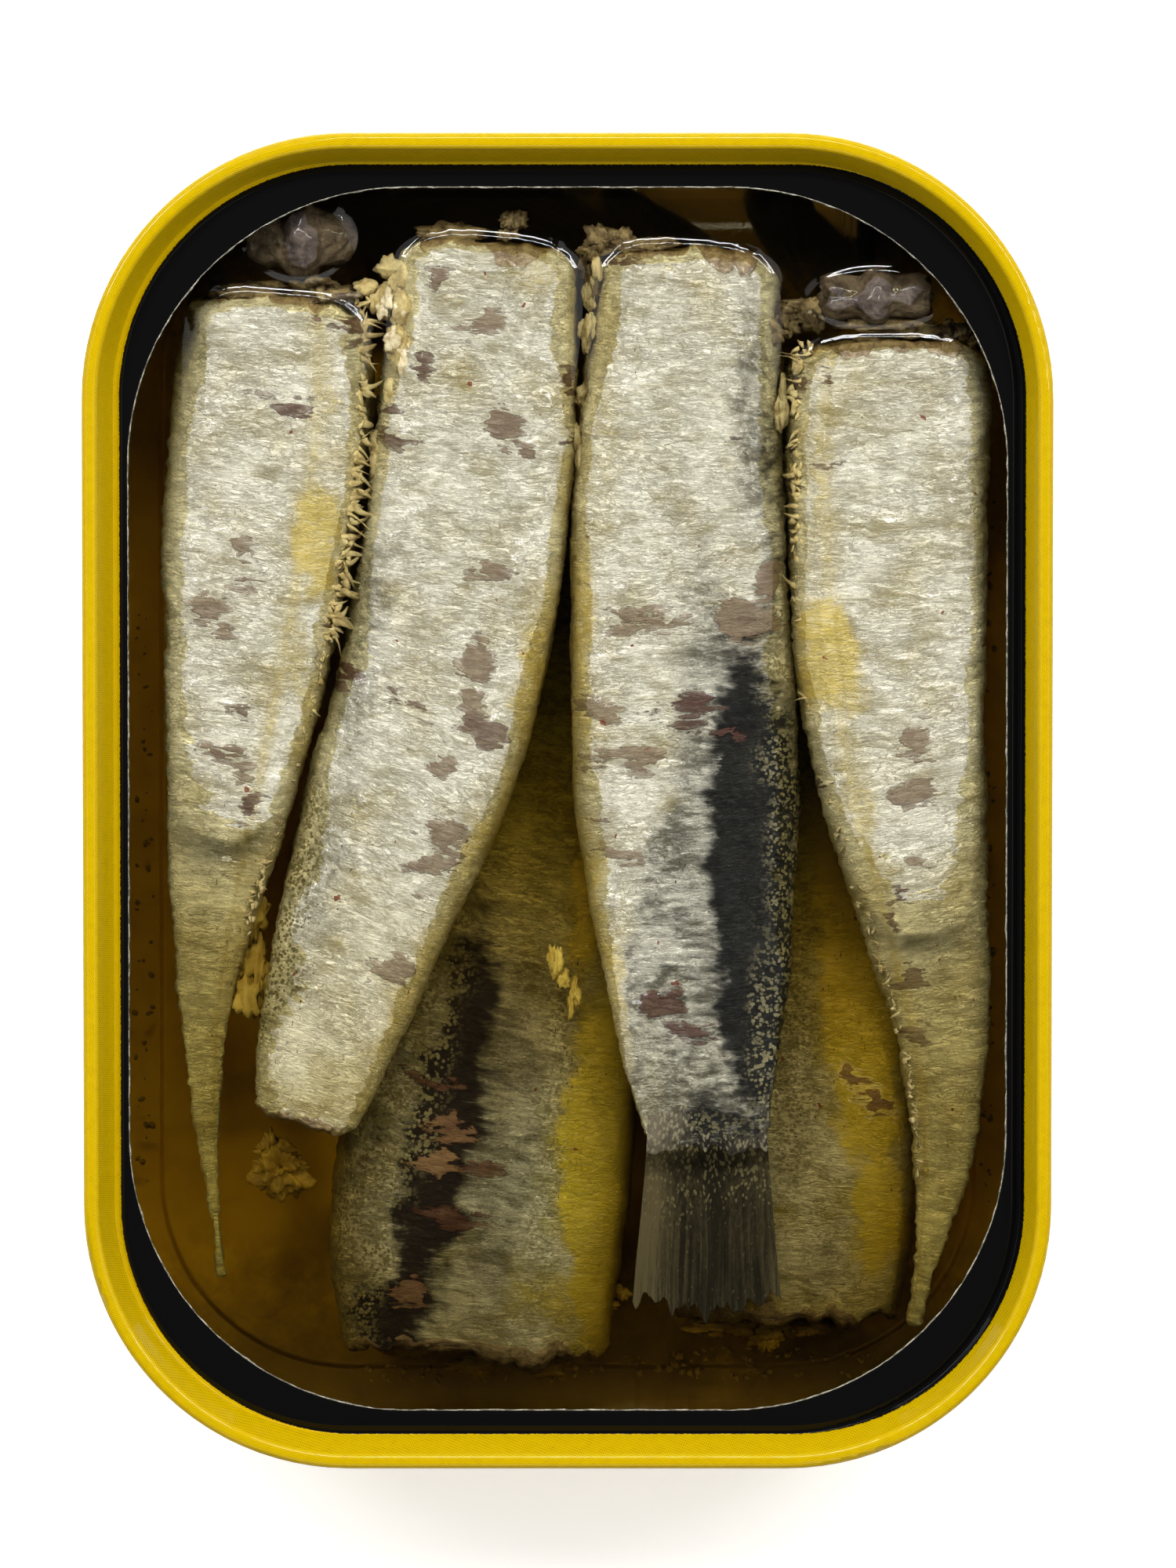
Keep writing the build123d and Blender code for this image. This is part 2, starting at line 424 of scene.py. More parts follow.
@dataclass(frozen=True)
class Depth:
    """How oil tints what lies under it: amber at first, then slowly darker."""

    level: float
    amber: Colour = (0.42, 0.29, 0.004)
    turning: float = 1.7
    darkening: float = 20.0
    clear: float = 0.8

    def tint(self, graph: Graph, colour: Value, film: Number = 0.0) -> Value:
        """Tint a colour by how deep its point lies.

        Args:
            graph: Graph of the material.
            colour: Colour of the dry surface.
            film: Thickness of the oil that clings to it above the level, in millimetres.

        Returns:
            The colour seen through the oil.
        """
        depth = (self.level - graph.place()[2] / MM).most(0.0) + film
        covered = (depth - self.clear).most(0.0)
        turned = 1.0 - graph.math("EXPONENT", covered * (-1.0 / self.turning))
        shade = graph.math("EXPONENT", depth * (-1.0 / self.darkening))
        tinted = graph.blend(turned, WHITE, self.amber)
        return graph.blend(1.0, graph.blend(1.0, colour, tinted, "MULTIPLY"),
                           self.grey(graph, shade), "MULTIPLY")

    @staticmethod
    def grey(graph: Graph, shade: Value) -> Value:
        """Turn a number into a grey colour."""
        return graph.blend(shade, BLACK, WHITE)


# ---------------------------------------------------------------- meshes


def add_mesh(
    name: str, points: Array, faces: Sequence, fields: Optional[dict[str, Array]] = None
) -> bpy.types.Object:
    """Make a smooth mesh object.

    Args:
        name: Name of the piece.
        points: Corner points in millimetres, one row each.
        faces: Point numbers of each face.
        fields: Numbers that each point carries, by name. A row of three makes a vector.

    Returns:
        The new object, linked to the scene.
    """
    mesh = bpy.data.meshes.new(name)
    mesh.from_pydata((points * MM).tolist(), [], [list(map(int, face)) for face in faces])
    for key, values in (fields or {}).items():
        kind, slot = ("FLOAT_VECTOR", "vector") if values.ndim == 2 else ("FLOAT", "value")
        mesh.attributes.new(key, kind, "POINT").data.foreach_set(slot, values.ravel())
    mesh.shade_smooth()
    mesh.update()
    piece = bpy.data.objects.new(name, mesh)
    bpy.context.scene.collection.objects.link(piece)
    return piece


def add_copies(name: str, shapes: Sequence[Array], faces: Sequence) -> bpy.types.Object:
    """Join shapes that have the same faces into one mesh.

    Args:
        name: Name of the piece.
        shapes: Points of each shape, in millimetres.
        faces: Point numbers of each face, counted within one shape.

    Returns:
        The new object, linked to the scene.
    """
    size = len(shapes[0])
    joined = [[corner + number * size for corner in face]
              for number in range(len(shapes)) for face in faces]
    return add_mesh(name, np.concatenate(shapes), joined)


def sheet_faces(rows: int, columns: int) -> tuple[Array, Array]:
    """List the faces of an open grid and the points round its border.

    Args:
        rows: Rows of points.
        columns: Points in each row.

    Returns:
        Quads that face up where rows run along Y and columns along X, and the border's loop.
    """
    index = np.arange(rows * columns).reshape(rows, columns)
    quads = np.stack([index[:-1, :-1], index[:-1, 1:], index[1:, 1:], index[1:, :-1]], axis=-1)
    loop = np.concatenate([index[0], index[1:, -1], index[-1, -2::-1], index[-2:0:-1, 0]])
    return quads.reshape(-1, 4), loop


def unit_ball(rows: int, columns: int, gap: float) -> Array:
    """Place points on a ball of radius 1 whose poles lie along X.

    Args:
        rows: Rings of points.
        columns: Points in each ring.
        gap: Angle in radians by which the first and last rings stop short of the poles.

    Returns:
        The points, shaped rows by columns by three.
    """
    down = np.linspace(gap, np.pi - gap, rows)[:, None]
    turn = np.linspace(0.0, 2 * np.pi, columns, endpoint=False)[None, :]
    return np.stack([-np.cos(down) * np.ones_like(turn), np.sin(down) * np.cos(turn),
                     np.sin(down) * np.sin(turn)], axis=-1)


def tube_faces(rows: int, columns: int) -> list[list[int]]:
    """List the faces of a grid that closes round its columns, with both ends closed.

    Args:
        rows: Rings of points.
        columns: Points in each ring.

    Returns:
        Quads wound to face outwards where the rings run anticlockwise, then the two caps.
    """
    index = np.arange(rows * columns).reshape(rows, columns)
    turned = np.roll(index, -1, axis=1)
    quads = np.stack([index[:-1], turned[:-1], turned[1:], index[1:]], axis=-1).reshape(-1, 4)
    return quads.tolist() + [index[0][::-1].tolist(), index[-1].tolist()]


def surface_normals(points: Array) -> Array:
    """Give the outward direction at each point of a closed tube of rings.

    Args:
        points: Rows of rings, shaped rows by columns by three.

    Returns:
        Unit vectors of the same shape.
    """
    along = np.gradient(points, axis=0)
    around = np.roll(points, -1, axis=1) - np.roll(points, 1, axis=1)
    normal = np.cross(around, along)
    return normal / np.maximum(np.linalg.norm(normal, axis=-1, keepdims=True), 1e-9)


def dress(piece: bpy.types.Object, material: bpy.types.Material) -> None:
    """Give a piece its only material."""
    piece.data.materials.clear()
    piece.data.materials.append(material)


def report(piece: bpy.types.Object) -> None:
    """Log a finished piece and how many faces it has."""
    LOG.info("%s: %d faces", piece.name, len(piece.data.polygons))


@dataclass(frozen=True)
class Spot:
    """An oval area seen from above: its middle, its size and the turn of its length from +X.

    Its tone is how strongly it colours or, for a torn place, how dark its flesh is.
    """

    x: float
    y: float
    length: float
    width: float
    turn: float = 0.0
    tone: float = 1.0

    def distance(self, x: Array, y: Array) -> Array:
        """Measure how far points lie outside the oval.

        Args:
            x: Places along X.
            y: Places along Y.

        Returns:
            Rough distances, negative inside.
        """
        cosine, sine = math.cos(math.radians(self.turn)), math.sin(math.radians(self.turn))
        along = (x - self.x) * cosine + (y - self.y) * sine
        across = (y - self.y) * cosine - (x - self.x) * sine
        radius = np.hypot(along / (self.length / 2), across / (self.width / 2))
        return (radius - 1.0) * min(self.length, self.width) / 2


def cover(spots: Sequence[Spot], x: Array, y: Array, soft: float) -> Array:
    """Work out how strongly several spots cover points.

    Args:
        spots: The spots. Their tones are their strengths.
        x: Places along X.
        y: Places along Y.
        soft: Distance over which each fades out.

    Returns:
        Strengths from 0 to 1.
    """
    total = np.zeros(x.shape)
    for spot in spots:
        total = np.maximum(total, ease(spot.distance(x, y), soft, -soft) * spot.tone)
    return total


def nearest(spots: Sequence[Spot], x: Array, y: Array) -> tuple[Array, Array]:
    """Measure to the nearest of several spots.

    Args:
        spots: The spots.
        x: Places along X.
        y: Places along Y.

    Returns:
        The distance to the nearest spot, negative inside, and that spot's tone.
    """
    distance, tone = np.full(x.shape, FAR), np.full(x.shape, 0.5)
    for spot in spots:
        own = spot.distance(x, y)
        tone = np.where(own < distance, spot.tone, tone)
        distance = np.minimum(distance, own)
    return distance, tone


# ---------------------------------------------------------------- finishes


class SkinGrain:
    """The patterns that all colours of one skin share, among them its painted shine and the painted
    shade of its creases.
    """

    def __init__(self, graph: Graph) -> None:
        """Add the patterns.

        Args:
            graph: Graph of the material.
        """
        relief = graph.field("relief")
        self.fine = graph.noise(graph.flow(6.5, 4.0), 1.0, 4.0, 0.7, 0.6)
        self.threads = graph.noise(graph.flow(3.6, 0.8), 1.0, 5.0, 0.65, 1.2)
        self.patch = graph.noise(graph.flow(0.22, 0.22), 1.0, 3.0)
        self.streaks = graph.noise(graph.flow(1.7, 0.42), 1.0, 3.0, 0.55, 0.6)
        self.ragged = graph.noise(graph.flow(1.3, 1.3), 1.0, 5.0, 0.7)
        # Painted light: a broad sheen and the relief's crests brighten the silver, as light on the
        # crumpled skin would.
        painted_sheen = graph.noise(graph.flow(0.35, 0.16), 1.0, 3.0, 0.6, 0.8)
        self.painted_shine = (self.threads * 0.55 + relief * 0.5 + self.fine * 0.5 + painted_sheen * 0.4
                      - 0.62).step(0.08, 0.52)
        # Crease lines: a dip in the bump, and painted shade in the silver's colour.
        broad = abs(graph.noise(graph.flow(1.25, 0.40), 1.0, 4.0, 0.6, 1.3) - 0.5)
        thin = abs(graph.noise(graph.flow(2.6, 0.80), 1.0, 3.0, 0.6, 1.0) - 0.5)
        lines = (broad.step(0.035, 0.0) + thin.step(0.040, 0.0) * 0.6).least(1.0)
        self.crease_and_shade = lines * (self.patch + relief * 0.3 - 0.15).step(0.25, 0.60)


class SkinMasks:
    """How strongly each layer of colour covers a point of one skin."""

    def __init__(self, graph: Graph, grain: SkinGrain) -> None:
        """Add the masks.

        Args:
            graph: Graph of the material.
            grain: Patterns of the same material, which fray the masks' edges.
        """
        fine, threads = grain.fine - 0.5, grain.threads - 0.5
        streaks, ragged = grain.streaks - 0.5, grain.ragged - 0.5
        self.warm = (grain.patch + graph.field("yellow") * 0.5).step(0.42, 0.80)
        self.yellow = (graph.field("yellow") + ragged * 0.9).step(0.35, 0.9)
        self.steel = (graph.field("steel") + threads * 0.9).step(0.15, 0.9)
        # The dark back is lightened a little where the painted shine is high.
        self.dark = (graph.field("back") + threads * 0.9 + streaks * 0.7 + fine * 0.5
                     - grain.painted_shine * 0.25).step(0.10, 0.75)
        self.freckles = (graph.speckle(3.1) + ragged * 1.5).step(0.56, 0.36) * graph.field("freckle")
        flecks = graph.noise(graph.flow(1.2, 2.8), 1.5, 4.0, 0.7)
        self.specks = flecks.step(0.60, 0.70) * graph.field("specks")
        edge = graph.field("tear") + ragged * 1.1 + streaks * 3.2
        self.torn = edge.step(0.10, -0.12)
        # Painted highlight: a thin bright rim of lit silver round each tear.
        self.lip_highlight = edge.step(0.02, 0.14) * edge.step(0.42, 0.16)
        self.liver = (graph.field("tone") + fine * 0.5 + streaks * 0.9).step(0.25, 0.95)
        rust = graph.noise(graph.flow(0.9, 0.9), 1.0, 2.0, 0.5)
        self.rust = (rust + (grain.patch - 0.5) * 0.25).step(0.735, 0.76)
        self.cut = graph.field("flesh").step(0.3, 0.6)


@dataclass(frozen=True)
class SkinFinish:
    """Wet fish skin: crumpled silver with painted highlights and painted crease shade, yellow belly,
    dark speckled back and torn places.
    """

    depth: Depth
    specular: float = 0.25
    metallic: float = 0.32
    # Lit and shaded tones of the silver: painted light and painted shade.
    lit_silver: Colour = (1.0, 0.96, 0.78)
    shaded_silver: Colour = (0.47, 0.43, 0.29)
    cream: Colour = (0.72, 0.63, 0.35)
    belly: Colour = (0.48, 0.36, 0.065)
    back: Colour = (0.012, 0.012, 0.011)
    steel: Colour = (0.10, 0.10, 0.075)
    freckle: Colour = (0.27, 0.24, 0.13)
    tan: Colour = (0.215, 0.165, 0.10)
    dusk: Colour = (0.135, 0.092, 0.057)
    liver: Colour = (0.055, 0.020, 0.012)
    rust: Colour = (0.26, 0.045, 0.008)
    flesh: Colour = (0.33, 0.25, 0.13)
    char: Colour = (0.030, 0.024, 0.014)

    def material(self, name: str) -> bpy.types.Material:
        """Build the material.

        Args:
            name: Name of the material.

        Returns:
            The material, for pieces that carry the skin's fields.
        """
        graph = Graph(bpy.data.materials.new(name))
        grain = SkinGrain(graph)
        masks = SkinMasks(graph, grain)
        colour = self.depth.tint(graph, self.colour(graph, grain, masks), graph.field("film"))
        pale = 1.0 - masks.dark
        matte = masks.torn.most(masks.cut).most(masks.yellow * 0.8)
        height = grain.threads * 0.9 + grain.fine * 0.4 - grain.crease_and_shade * 0.35
        wet = (graph.place()[2] / MM - self.depth.level).step(-0.3, 0.2)
        return graph.surface({
            "Base Color": colour, "Roughness": 0.30, "Specular IOR Level": self.specular,
            "Metallic": (1.0 - matte) * (masks.steel * 0.25 + self.metallic) * (1.0 - masks.dark * 0.7),
            "Normal": graph.bump(height * (1.0 - matte * 0.6), 0.40),
            "Coat Weight": wet * pale * 0.3, "Coat Roughness": 0.10,
        })

    def colour(self, graph: Graph, grain: SkinGrain, masks: SkinMasks) -> Value:
        """Lay the skin's colours over each other, from the silver up to the cut ends.

        Args:
            graph: Graph of the material.
            grain: Patterns of the skin.
            masks: How strongly each layer covers.

        Returns:
            The colour of the dry skin, painted light and shade included.
        """
        painted_shine, pale = grain.painted_shine, 1.0 - masks.dark
        frayed = (grain.threads + (grain.patch - 0.5) * 0.6).step(0.3, 0.7)
        bloody = (grain.ragged + grain.fine * 0.5 - 0.25).step(0.25, 0.75)
        # Painted light: the warm, steel and dark-back layers run brighter where the painted shine is
        # high.
        layers = (
            (masks.warm * 0.55, graph.blend(painted_shine, self.belly, self.cream)),
            (masks.yellow * 0.85, graph.blend(grain.threads.step(0.42, 0.9), self.belly, self.cream)),
            (masks.steel * 0.8, graph.blend(painted_shine * painted_shine * 0.7, self.steel, self.lit_silver)),
            (masks.dark, graph.blend(painted_shine * painted_shine * 0.15, self.back, self.steel)),
            (masks.freckles, self.freckle),
            (masks.specks, self.char),
            # Torn flesh shows a little less where the painted shine is high.
            (masks.torn * (0.96 - painted_shine * 0.25),
             graph.blend(masks.liver, graph.blend(frayed, self.dusk, self.tan), self.liver)),
            # Painted highlight round the tears, in lit silver.
            (masks.lip_highlight * 0.32 * pale, self.lit_silver),
            (masks.rust * pale * 0.85, self.rust),
            (masks.cut * 0.9, graph.blend(bloody, self.liver, self.flesh)),
        )
        # Painted light and shade: the silver runs from the shaded tone in hollows and creases to the
        # lit tone on crests and in the sheen.
        colour = graph.blend(painted_shine * (1.0 - grain.crease_and_shade * 0.75), self.shaded_silver, self.lit_silver)
        for amount, layer in layers:
            colour = graph.blend(amount, colour, layer)
        return colour


@dataclass(frozen=True)
class FinFinish:
    """A wet tail fin: dark rays with pale web between them."""

    depth: Depth
    ray: Colour = (0.014, 0.012, 0.009)
    web: Colour = (0.115, 0.097, 0.062)
    freckle: Colour = (0.17, 0.15, 0.09)

    def material(self, name: str) -> bpy.types.Material:
        """Build the material.

        Args:
            name: Name of the material.

        Returns:
            The material, for a piece that carries flow and relief.
        """
        graph = Graph(bpy.data.materials.new(name))
        rays = graph.noise(graph.flow(0.14, 3.4), 1.0, 4.0, 0.65)
        grain = graph.noise(graph.flow(2.2, 3.6), 1.0, 4.0, 0.7)
        broad = graph.noise(graph.flow(0.16, 0.4), 1.0, 2.0)
        fan = graph.field("fan")
        rayed = rays * fan + grain * (1.0 - fan)
        light = (graph.field("relief") * 0.35 + rayed * 0.7 + grain * 0.45 + broad * 0.7
                 - 0.85).step(0.0, 0.75)
        dots = (graph.speckle(3.1) + (grain - 0.5) * 1.4 + fan * 0.30).step(0.48, 0.28)
        colour = graph.blend(light, self.ray, self.web)
        colour = graph.blend(dots * (1.0 - fan * 0.6), colour, self.freckle)
        colour = self.depth.tint(graph, colour)
        return graph.surface({
            "Base Color": colour, "Roughness": 0.45, "Specular IOR Level": 0.1,
            "Normal": graph.bump(rayed * 0.7 + grain * 0.3, 0.12),
        })


@dataclass(frozen=True)
class SoftFinish:
    """Soft wet tissue or loose flesh, in two blotched colours."""

    depth: Depth
    light: Colour
    dark: Colour
    blotch: float = 0.8

    def material(self, name: str) -> bpy.types.Material:
        """Build the material.

        Args:
            name: Name of the material.

        Returns:
            The material.
        """
        graph = Graph(bpy.data.materials.new(name))
        blotches = graph.noise(None, self.blotch / MM, 4.0, 0.6, 0.8)
        grain = graph.noise(None, 4.5 / MM, 4.0, 0.7)
        mixed = graph.blend((blotches + grain * 0.3 - 0.15).step(0.3, 0.7), self.dark, self.light)
        wet = (graph.place()[2] / MM - self.depth.level).step(-0.3, 0.2)
        return graph.surface({
            "Base Color": self.depth.tint(graph, mixed), "Roughness": 0.38,
            "Subsurface Weight": 0.1, "Subsurface Radius": (0.002, 0.001, 0.0006),
            "Specular IOR Level": 0.1, "Coat Weight": wet * 0.35, "Coat Roughness": 0.1,
            "Normal": graph.bump(blotches * 0.6 + grain * 0.4, 0.2),
        })


@dataclass(frozen=True)
class Outline:
    """A rounded rectangle in plan, from which insets are measured."""

    width: float
    length: float
    radius: float
    shift: tuple[float, float] = (0.0, 0.0)

    def inset(self, graph: Graph) -> Value:
        """Measure in a shader how far in from the outline a point lies, in millimetres."""
        x, y, _ = graph.place()
        straight = (self.width / 2 - self.radius, self.length / 2 - self.radius)
        across = (abs(x / MM - self.shift[0]) - straight[0]).most(0.0)
        along = (abs(y / MM - self.shift[1]) - straight[1]).most(0.0)
        return self.radius - (across * across + along * along) ** 0.5

    def inset_of(self, x: Array, y: Array) -> Array:
        """Measure how far in from the outline points lie.

        Args:
            x: Places along X.
            y: Places along Y.

        Returns:
            Distances inwards from the outline.
        """
        across = np.maximum(np.abs(x) - (self.width / 2 - self.radius), 0.0)
        along = np.maximum(np.abs(y) - (self.length / 2 - self.radius), 0.0)
        return self.radius - np.hypot(across, along)

    def half_width(self, y: Array) -> Array:
        """Give half the outline's width at places along its length."""
        over = np.maximum(np.abs(y) - (self.length / 2 - self.radius), 0.0)
        bow = np.sqrt(np.maximum(self.radius**2 - over**2, 0.0))
        return self.width / 2 - self.radius + bow

    def walk(self, count: int) -> Array:
        """Place points evenly round the outline.

        Args:
            count: How many points.

        Returns:
            One row of x and y for each point, anticlockwise from the middle of the right side.
        """
        half_x, half_y = self.width / 2 - self.radius, self.length / 2 - self.radius
        corners = ((half_x, half_y), (-half_x, half_y), (-half_x, -half_y), (half_x, -half_y))
        sides = (2 * half_x, 2 * half_y, 2 * half_x, half_y)
        arc = math.pi / 2 * self.radius
        run = np.linspace(0.0, half_y + 4 * arc + sum(sides), count, endpoint=False)
        points = np.column_stack([np.full(count, self.width / 2), run])
        begin = half_y
        for number, ((x, y), side) in enumerate(zip(corners, sides)):
            past = run - begin
            turn = np.clip(past / self.radius, 0.0, math.pi / 2) + number * math.pi / 2
            cosine, sine, ahead = np.cos(turn), np.sin(turn), np.maximum(past - arc, 0.0)
            bent = np.column_stack([x + self.radius * cosine - ahead * sine,
                                    y + self.radius * sine + ahead * cosine])
            points = np.where(past[:, None] >= 0.0, bent, points)
            begin += arc + side
        return points


@dataclass(frozen=True)
class LacquerFinish:
    """Golden lacquer on tinplate, tinted where oil covers it, with painted shade at the inner ends."""

    depth: Depth
    outline: Outline
    wall: float = 0.8
    # Painted shade: where the floor darkens towards the head and tail ends, and how far the edge of
    # that shade wanders.
    head_shade_span: tuple[float, float] = (33.0, 42.0)
    tail_shade_span: tuple[float, float] = (-34.0, -46.0)
    shade_edge_wander: float = 8.0
    gold: Colour = (0.86, 0.62, 0.14)
    worn: Colour = (0.74, 0.52, 0.105)

    def material(self, name: str) -> bpy.types.Material:
        """Build the material.

        Args:
            name: Name of the material.

        Returns:
            The material.
        """
        graph = Graph(bpy.data.materials.new(name))
        streaks = graph.noise(None, 0.35 / MM, 5.0, 0.6, 0.6)
        colour = graph.blend(streaks.step(0.35, 0.65), self.worn, self.gold)
        inside = self.outline.inset(graph).step(self.wall - 0.05, self.wall + 0.05)
        facing = graph.node("ShaderNodeNewGeometry")
        up = graph.node("ShaderNodeSeparateXYZ", None, {0: facing.outputs["Normal"]})
        wetted = inside * Value(graph, up.outputs["Z"]).step(-0.3, -0.1)
        # Painted shade: the lacquer darkens towards the head and tail ends, where the walls and ledge
        # shade the floor; a noise wobbles the edge.
        shade_edge_noise = graph.noise(None, 0.6 / MM, 5.0, 0.7, 0.5)
        along = graph.place()[1] / MM + (shade_edge_noise - 0.5) * self.shade_edge_wander
        shade = 1.0 - along.step(*self.head_shade_span) * 0.92 - along.step(*self.tail_shade_span) * 0.75
        shaded = graph.blend(1.0, colour, self.depth.grey(graph, shade), "MULTIPLY")
        colour = graph.blend(wetted, colour, self.depth.tint(graph, shaded))
        return graph.surface({
            "Base Color": colour, "Metallic": 0.15, "Roughness": 0.38,
            "Specular IOR Level": 0.2, "Normal": graph.bump(streaks, 0.02),
        })


@dataclass(frozen=True)
class PrintFinish:
    """The printed lid: screened yellow on the rim, and gloss black on the ledge."""

    outline: Outline
    border: float = 2.42
    yellow: Colour = (0.49, 0.33, 0.0004)
    amber: Colour = (0.27, 0.16, 0.0003)
    black: Colour = (0.0022, 0.0022, 0.0024)
    screen: float = 0.27

    def material(self, name: str) -> bpy.types.Material:
        """Build the material.

        Args:
            name: Name of the material.

        Returns:
            The material.
        """
        graph = Graph(bpy.data.materials.new(name))
        x, y, _ = graph.place()
        turn = 2 * math.pi / (self.screen * MM)
        dots = (graph.math("SINE", (x * 0.94 + y * 0.34) * turn)
                * graph.math("SINE", (y * 0.94 - x * 0.34) * turn * 1.35))
        wander = graph.noise(None, 1.5 / MM, 3.0, 0.6)
        screened = graph.blend((dots * 0.42 + wander * 0.5).step(0.25, 0.75),
                               self.yellow, self.amber)
        inset = self.outline.inset(graph)
        ragged = inset + (graph.noise(None, 5.0 / MM, 2.0) - 0.5) * 0.16
        inked = ragged.step(self.border, self.border + 0.07)
        colour = graph.blend(inked, screened, self.black)
        return graph.surface({
            "Base Color": colour, "Roughness": 0.5, "Specular IOR Level": 0.02,
            "Coat Weight": 0.34, "Coat Roughness": 0.06,
            "Normal": graph.bump(dots * 0.3 + wander, 0.010),
        })


@dataclass(frozen=True)
class BareSteel:
    """The torn edge of the sheet: dull stretches with bright ones that are painted glints."""

    bright: Colour = (0.40, 0.38, 0.31)
    dull: Colour = (0.10, 0.095, 0.07)

    def material(self, name: str) -> bpy.types.Material:
        """Build the material.

        Args:
            name: Name of the material.

        Returns:
            The material.
        """
        graph = Graph(bpy.data.materials.new(name))
        # Painted glints: random bright stretches along the edge stand in for light catching the steel.
        glint = graph.noise(None, 1.2 / MM, 4.0, 0.8).step(0.40, 0.62)
        return graph.surface({
            "Base Color": graph.blend(glint, self.dull, self.bright),
            "Metallic": 0.5, "Roughness": 0.40, "Normal": graph.bump(glint, 0.03),
        })


@dataclass(frozen=True)
class OilFinish:
    """The clear skin of the oil. Its colour lies on what it covers."""

    refraction: float = 1.40
    clear: Colour = (1.0, 0.965, 0.80)

    def material(self, name: str) -> bpy.types.Material:
        """Build the material.

        Args:
            name: Name of the material.

        Returns:
            The material.
        """
        graph = Graph(bpy.data.materials.new(name))
        through = graph.node("ShaderNodeBsdfTransparent", None, {"Color": (*self.clear, 1.0)})
        gloss = graph.node("ShaderNodeBsdfGlossy", None, {"Roughness": 0.03})
        fresnel = graph.node("ShaderNodeFresnel", None, {"IOR": self.refraction})
        shader = graph.node(
            "ShaderNodeMixShader", None,
            {0: fresnel.outputs[0], 1: through.outputs[0], 2: gloss.outputs[0]},
        )
        return graph.finish(shader.outputs[0])


# ---------------------------------------------------------------- the fish


class Layer(Enum):
    """Which layer of the filling a fish lies in."""

    UPPER = "upper"
    LOWER = "lower"


@dataclass(frozen=True)
class Looks:
    """What marks one fish: the areas of each colour and how its skin is crumpled."""

    tears: tuple[Spot, ...] = ()
    yellow: tuple[Spot, ...] = ()
    back: tuple[Spot, ...] = ()
    steel: tuple[Spot, ...] = ()
    freckles: tuple[Spot, ...] = ()
    specks: tuple[Spot, ...] = ()
    ridges: float = 0.5
    crumple: float = 0.5
    film: float = 1.6
    keel: Optional[float] = None
    head_flesh: float = 1.0
    tail_flesh: float = -2.0
    head_round: float = 2.6
    tail_round: float = 0.6
    head_rag: float = 0.8
    tail_rag: float = 0.0


